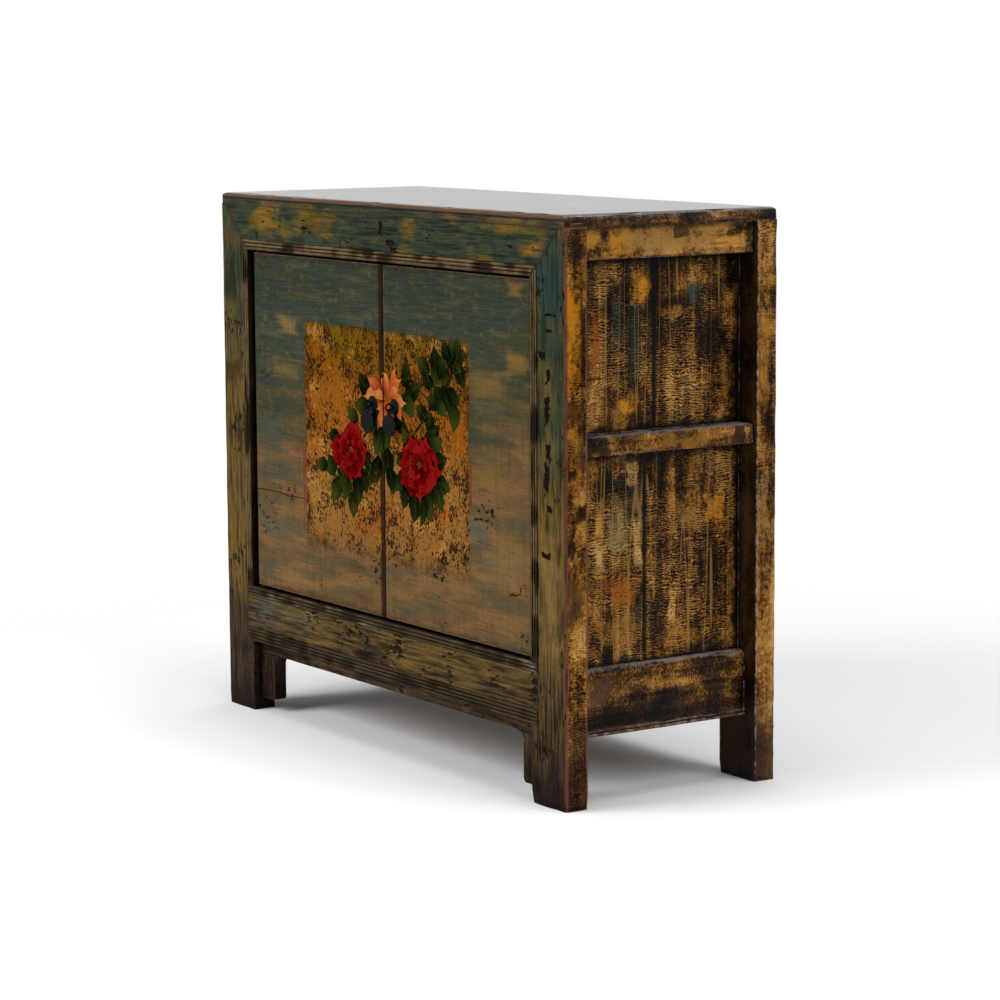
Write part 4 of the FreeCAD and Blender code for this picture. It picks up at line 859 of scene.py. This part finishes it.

# Wear on the doors: threads of the cloth, scuffs, dark spots, a long crack in the left one, rubbed edges and
# a strip where the doors meet, dark from handling. Painted shade darkens the edges along the frame.
CRACK_HEIGHT = 0.37
cloth = step(times(weft, warp), 0.26, 0.14)
colour = tint(colour, cloth, 0.35, hue(36, 31, 20))
unpainted = less(1.0, times(field, 0.85))
scuffs = step(cloud(place, (9, 9, 55), detail=6, roughness=0.7), 0.5, 0.8)
colour = tint(colour, times(scuffs, unpainted), 0.34, hue(118, 104, 66))
drags = step(cloud(place, (16, 16, 420), roughness=0.6), 0.4, 0.7)
colour = tint(colour, times(drags, unpainted), 0.18, hue(112, 98, 66))
dark_spots = worn(place, (14, 14, 14), (90, 90, 130), fray=1.2, edge=0.74, soft=0.05)
colour = over(dark_spots, colour, hue(38, 24, 15))
wander = shifted(less(z, CRACK_HEIGHT), cloud(place, (9, 9, 0)), 0.02)
crack = times(step(size(wander), 0.0013, 0.0005), step(x, -0.225, -0.25))
colour = tint(colour, crack, 0.85, hue(30, 21, 14))
edge = calc("MINIMUM", less(DOOR_OUTER, beside), less(z, DOOR_LOW), less(DOOR_HIGH, z))
# Painted shade towards the door's edges along the frame.
painted_edge_shade = step(shifted(edge, ragged, 0.03), 0.012, 0.0)
colour = tint(colour, painted_edge_shade, 0.5, hue(36, 27, 18))
edge = calc("MINIMUM", edge, less(beside, DOOR_INNER))
rubbed = step(shifted(edge, ragged, 0.008), 0.0022, 0.0002)
colour = tint(colour, rubbed, 0.7, hue(112, 92, 70))
strip = step(shifted(x, ragged, 0.014), -0.017, -0.009)
strip = times(strip, step(x, 0.0, -0.0005))
colour = tint(colour, strip, 0.92, over(ragged, hue(14, 8, 5), hue(46, 22, 12)))
relief = less(calc("ADD", weft, warp), times(flecks, field))
relief = less(relief, times(crack, 2))
shine = step(weft, -0.5, 1.3)
surface(shader, colour, shine, relief, depth=0.0004, gloss=0.015, strength=0.4)


def second_skin(film):
    """The points of a film's back, extruded from its front."""
    grown = bmesh.ops.extrude_face_region(film, geom=film.faces[:], use_keep_orig=True)["geom"]
    return {point for point in grown if isinstance(point, bmesh.types.BMVert)}


# The ground follows the rounded nose of each pivot stile, so that the door can turn past the frame.
GROUND, GROUND_INSET, GROUND_ROOT = 0.00015, 0.0003, 0.0003
NOSE, NOSE_END, NOSE_STEP = (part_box("right_door_pivot_stile")[1].y - DOOR_FRONT) / 2, 80, 8
columns = [(DOOR_INNER + GROUND_INSET, DOOR_FRONT, 0, -1)]
for degrees in range(0, NOSE_END + 1, NOSE_STEP):
    aside, ahead = math.sin(math.radians(degrees)), -math.cos(math.radians(degrees))
    columns.append((DOOR_OUTER + NOSE * (aside - 1), DOOR_FRONT + NOSE * (ahead + 1), aside, ahead))
for side, sign in (("left", -1), ("right", 1)):
    ground = bmesh.new()
    bmesh.ops.create_grid(ground, x_segments=len(columns) - 1, y_segments=1, size=0.5)
    rooted = second_skin(ground)
    for point in ground.verts:
        x, y, aside, ahead = columns[round((point.co.x + 0.5) * (len(columns) - 1))]
        lift = -GROUND_ROOT if point in rooted else GROUND
        z = DOOR_LOW + GROUND_INSET if point.co.y < 0 else DOOR_HIGH - GROUND_INSET
        point.co = (sign * (x + aside * lift), y + ahead * lift, z)
    piece_from(ground, f"{side}_door_ground", brushed_ground, f"{side}_door")

# Flowers on the field: a plain spray of peonies in thick brush marks, two red blossoms, a coral one over the
# meeting edges, dark leaves and one leafy branch. Each mark is a thin film that ends at its door's edge.
random.seed(7)
FILM, FILM_STEP, FILM_ROOT = 0.0002, 0.000007, 0.0001
STEM_WIDTH, STEM_LAP, LEAF_WIDTH, LEAF_GROWTH = 5.0, 3, 0.68, 1.12
marks = {"leaf": [], "stem": [], "petal": [], "coral": [], "heart": []}


def leaf(x, z, turn, length):
    """A leaf round a point on the door, in millimetres, with its turn from the upright in degrees."""
    foot = Vector((math.sin(math.radians(turn)), math.cos(math.radians(turn)))) * -length / 2
    bend = random.uniform(-0.25, 0.25)
    marks["leaf"].append((x + foot.x, z + foot.y, turn, length, length * LEAF_WIDTH, bend))


def blossom(kind, x, z, reach, rings):
    """Rings of petals round a heart, the outer ones first."""
    for count, share, width in rings:
        for number in range(count):
            turn = 360 * (number + 0.5 * (count % 2)) / count + random.uniform(-13, 13)
            spread = 0.86 + 0.24 * abs(math.sin(math.radians(turn)))
            length = reach * share * spread * random.uniform(0.84, 1.1)
            root = Vector((random.uniform(-0.1, 0.1), random.uniform(-0.1, 0.1))) * reach
            bend = random.uniform(-0.3, 0.3)
            marks[kind].append((x + root.x, z + root.y, turn, length, length * width, bend))


for points in (
    ((70, 492), (91, 510), (128, 545), (161, 572), (190, 602), (212, 644)),
    ((-60, 486), (-30, 520), (4, 552)),
    ((98, 470), (70, 505), (30, 540)),
    ((161, 572), (180, 562), (194, 540)),
    ((128, 545), (134, 580), (116, 610)),
):
    for (x, z), (far_x, far_z) in zip(points, points[1:]):
        turn = math.degrees(math.atan2(far_x - x, far_z - z))
        length = math.hypot(far_x - x, far_z - z) + STEM_LAP
        marks["stem"].append((x, z, turn, length, STEM_WIDTH, 0.06))
for x, z, turn, length in (
    (112, 612, -60, 38), (150, 621, -20, 42), (186, 636, 10, 42), (214, 628, 60, 34),
    (146, 598, 200, 36), (172, 594, 170, 38), (212, 600, 140, 38), (176, 566, 150, 38),
    (192, 540, 175, 42), (124, 588, -80, 32), (166, 612, 30, 36), (200, 612, 100, 32),
    (152, 572, -50, 32), (136, 556, -70, 34), (160, 548, 120, 32), (176, 640, -40, 34),
    (204, 644, 0, 30), (196, 574, 110, 34), (128, 528, -30, 36), (108, 540, -60, 34),
    (140, 516, 60, 34), (85, 566, 60, 48), (62, 594, 20, 38), (69, 546, 130, 42),
    (-54, 571, -50, 42), (-66, 538, -100, 38), (-91, 519, -60, 34), (5, 485, 180, 48),
    (-19, 487, 200, 46), (12, 452, 170, 46), (-20, 440, 190, 40), (20, 427, 165, 40),
    (-44, 429, 200, 42), (46, 512, 120, 38), (-30, 520, -140, 38), (-160, 434, -110, 40),
    (-184, 431, -90, 30), (-144, 396, -150, 42), (-115, 404, -170, 42), (-92, 378, 182, 40),
    (-78, 404, 170, 44), (-52, 452, 120, 34), (-148, 478, -80, 32), (-120, 420, -160, 42),
    (-62, 418, 150, 40), (130, 501, 40, 42), (145, 494, 60, 40), (156, 474, 80, 38),
    (163, 438, 110, 40), (150, 414, 140, 42), (128, 401, 165, 44), (106, 396, 175, 42),
    (86, 394, 190, 46), (62, 408, 205, 42), (44, 430, 220, 38), (50, 462, -110, 32),
    (66, 500, -50, 36),
):
    leaf(x, z, turn, length * LEAF_GROWTH)
PEONY = ((7, 1.0, 0.92), (7, 0.8, 0.86), (6, 0.58, 0.8), (5, 0.36, 0.8))
blossom("petal", -100, 462, 47, PEONY)
blossom("petal", 98, 456, 54, PEONY)
blossom("coral", 10, 554, 54, ((9, 1.0, 0.36), (6, 0.62, 0.44)))
STAMENS, STAMEN_TURN, STAMEN_WIDTH = 7, 51, 1.6
for x, z, reach in ((-96, 464, 6), (100, 460, 8), (12, 552, 10)):
    for number in range(STAMENS):
        turn = STAMEN_TURN * number + random.uniform(-16, 16)
        marks["heart"].append((x, z, turn, reach * random.uniform(0.6, 1.1), STAMEN_WIDTH, 0.1))


def brush_mark(film, kind, mark, level, paint):
    """A flat mark that swells along its length as a loaded brush does, with the place along it kept."""
    x, z, turn, length, width, bend = mark
    grid = bmesh.ops.create_grid(film, x_segments=6, y_segments=12, size=0.5)["verts"]
    tone = random.random()
    sine, cosine = math.sin(math.radians(turn)), math.cos(math.radians(turn))
    for point in grid:
        across, along = 2 * point.co.x, 0.015 + 0.97 * (point.co.y + 0.5)
        reach = along
        if kind in ("petal", "coral"):
            swell = math.sin(math.pi * along ** 1.7) ** 0.55
            reach *= 1 + 0.05 * math.sin(7 * across + 9 * tone) - 0.1 * across ** 2
        elif kind == "leaf":
            swell = math.sin(math.pi * along ** 0.8) ** 0.95 * (1 + 0.05 * math.sin(23 * along + 6 * tone))
        else:
            swell = 1.0 - 0.45 * along
        aside = across * width / 2 * swell + bend * length * along * (1 - along) * 2
        spot_x = x + aside * cosine + reach * length * sine
        spot_z = z - aside * sine + reach * length * cosine
        point.co = (spot_x / 1000, DOOR_FRONT - level, spot_z / 1000)
        point[paint] = (across / 2 + 0.5, along, tone, 1)


def painted_finish(name, root, middle, rim):
    """Oil paint that runs from a mark's root to its rim, with bristle lines along it and flecks worn off."""
    material, shader, place, _ = new_finish(name)
    brush = add("Attribute", {}, tree=place.id_data, attribute_name="brush")
    across, along, tone = [
        add("SeparateColor", {0: brush}, out=channel) for channel in ("Red", "Green", "Blue")
    ]
    strands, drag, own = times(across, 16), times(along, 2), times(tone, 40)
    lines = add("CombineXYZ", {"X": strands, "Y": drag, "Z": own})
    bristle = add("TexNoise", {"Vector": lines, "Scale": 1, "Detail": 3})
    run = shifted(shifted(along, bristle, 0.8), tone, 0.6)
    colour = graded(run, (0.1, root), (0.5, middle), (0.95, rim))
    spine = size(less(across, 0.5))
    colour = tint(colour, step(spine, 0.07, 0.03), 0.25, rim)
    colour = tint(colour, step(spine, 0.4, 0.49), 0.6, root)
    flecks = worn(place, (24, 24, 20), (300, 300, 190), fray=1.8, edge=0.74, soft=0.14)
    colour = tint(colour, flecks, 0.8, hue(92, 58, 16))
    surface(shader, colour, step(bristle, -0.4, 1.5), bristle, depth=0.0003, gloss=0.0)
    return material


PAINTS = {
    "stem": painted_finish("stem_brown", hue(20, 17, 7), hue(32, 29, 10), hue(42, 42, 14)),
    "leaf": painted_finish("leaf_green", hue(8, 12, 3), hue(20, 28, 8), hue(46, 56, 16)),
    "petal": painted_finish("peony_red", hue(44, 0, 1), hue(94, 1, 5), hue(126, 18, 16)),
    "coral": painted_finish("peony_coral", hue(132, 46, 20), hue(160, 70, 32), hue(182, 112, 56)),
    "heart": painted_finish("stamen_yellow", hue(84, 40, 6), hue(126, 78, 20), hue(150, 108, 40)),
}
for side, sign in (("left", -1), ("right", 1)):
    level = FILM
    for kind, strokes in marks.items():
        film = bmesh.new()
        paint = film.verts.layers.float_color.new("brush")
        for mark in strokes:
            brush_mark(film, kind, mark, level, paint)
            level += FILM_STEP
        bmesh.ops.bisect_plane(
            film,
            geom=film.verts[:] + film.edges[:] + film.faces[:],
            plane_co=(sign * (DOOR_INNER + GROUND_INSET), 0, 0),
            plane_no=(sign, 0, 0),
            clear_inner=True,
        )
        if not film.faces:
            continue
        for point in second_skin(film):
            point.co.y = DOOR_FRONT + FILM_ROOT
        piece_from(film, f"{side}_{kind}_marks", PAINTS[kind], f"{side}_door")

# Pulls: a domed rosette, a wire staple clenched through the door and a leaf-shaped drop, all of iron that
# a smith has blackened with oil.
black_iron, shader, place, _ = new_finish("black_iron")
mottle = cloud(place, 380, detail=4, roughness=0.65)
colour = over(mottle, hue(6, 5, 5), hue(26, 23, 21))
surface(shader, colour, step(mottle, -0.4, 1.4), mottle, depth=0.0004, gloss=0.04)
for side in ("left", "right"):
    dress(black_iron, f"{side}_pull_rosette", f"{side}_pull_staple", f"{side}_pull_drop")

# Studio: a pale floor that fades into a white room, a soft key lamp before the front, a softer one on the
# open side and one above.
FLOOR_RADIUS, FADE_FROM, FADE_TO = 4, 0.7, 1.7
floor = bpy.data.meshes.new("floor")
shape = bmesh.new()
bmesh.ops.create_circle(shape, cap_ends=True, segments=64, radius=FLOOR_RADIUS)
shape.to_mesh(floor)
shape.free()
floor = put("floor", floor)
pale, shader, place, _ = new_finish("pale_floor")
shader["Base Color"].default_value = (0.9, 0.9, 0.9, 1)
shader["Roughness"].default_value = 0.9
shader["Specular IOR Level"].default_value = 0.1
away = add("VectorMath", {0: place}, out="Value", operation="LENGTH")
nodes = pale.node_tree.nodes
clear = nodes.new("ShaderNodeBsdfTransparent")
fade = nodes.new("ShaderNodeMixShader")
join(step(away, FADE_FROM, FADE_TO), fade.inputs[0])
join(nodes["Principled BSDF"].outputs[0], fade.inputs[1])
join(clear.outputs[0], fade.inputs[2])
join(fade.outputs[0], nodes["Material Output"].inputs[0])
floor.data.materials.append(pale)

LIT_SPOT = Vector((0, 0, 0.4))
for name, position, width, power in (
    ("key_lamp", (-0.9, -3.4, 2.6), 2.4, 134),
    ("side_lamp", (3.4, 0.6, 2.4), 2.2, 64),
    ("top_lamp", (0.2, 0.4, 4.0), 3.0, 80),
):
    lamp = bpy.data.lights.new(name, "AREA")
    lamp.energy = power
    lamp.size = width
    light = put(name, lamp)
    light.location = position
    light.rotation_euler = (LIT_SPOT - Vector(position)).to_track_quat("-Z", "Y").to_euler()

world = bpy.data.worlds.new("white_room")
bpy.context.scene.world = world
world.use_nodes = True
nodes = world.node_tree.nodes
rays = nodes.new("ShaderNodeLightPath").outputs
seen = calc("MAXIMUM", rays["Is Camera Ray"], rays["Is Transmission Ray"])
room = over(rays["Is Glossy Ray"], (0.34, 0.34, 0.34, 1), (0.66, 0.66, 0.67, 1))
join(over(seen, room, (1, 1, 1, 1)), nodes["Background"].inputs["Color"])

EYE_SPOT, EYE_LENS, EYE_TURNS = (4.138, -2.74935, 1.075), 115.4, (56.07, 82.04, -0.31)
eye = bpy.data.cameras.new("eye")
eye.lens = EYE_LENS
camera = put("eye", eye)
bpy.context.scene.camera = camera
stand = Matrix.Translation(EYE_SPOT)
for turn, axis in zip(EYE_TURNS, "ZXZ"):
    stand @= Matrix.Rotation(math.radians(turn), 4, axis)
camera.matrix_world = stand
bpy.context.scene.view_settings.view_transform = "Standard"
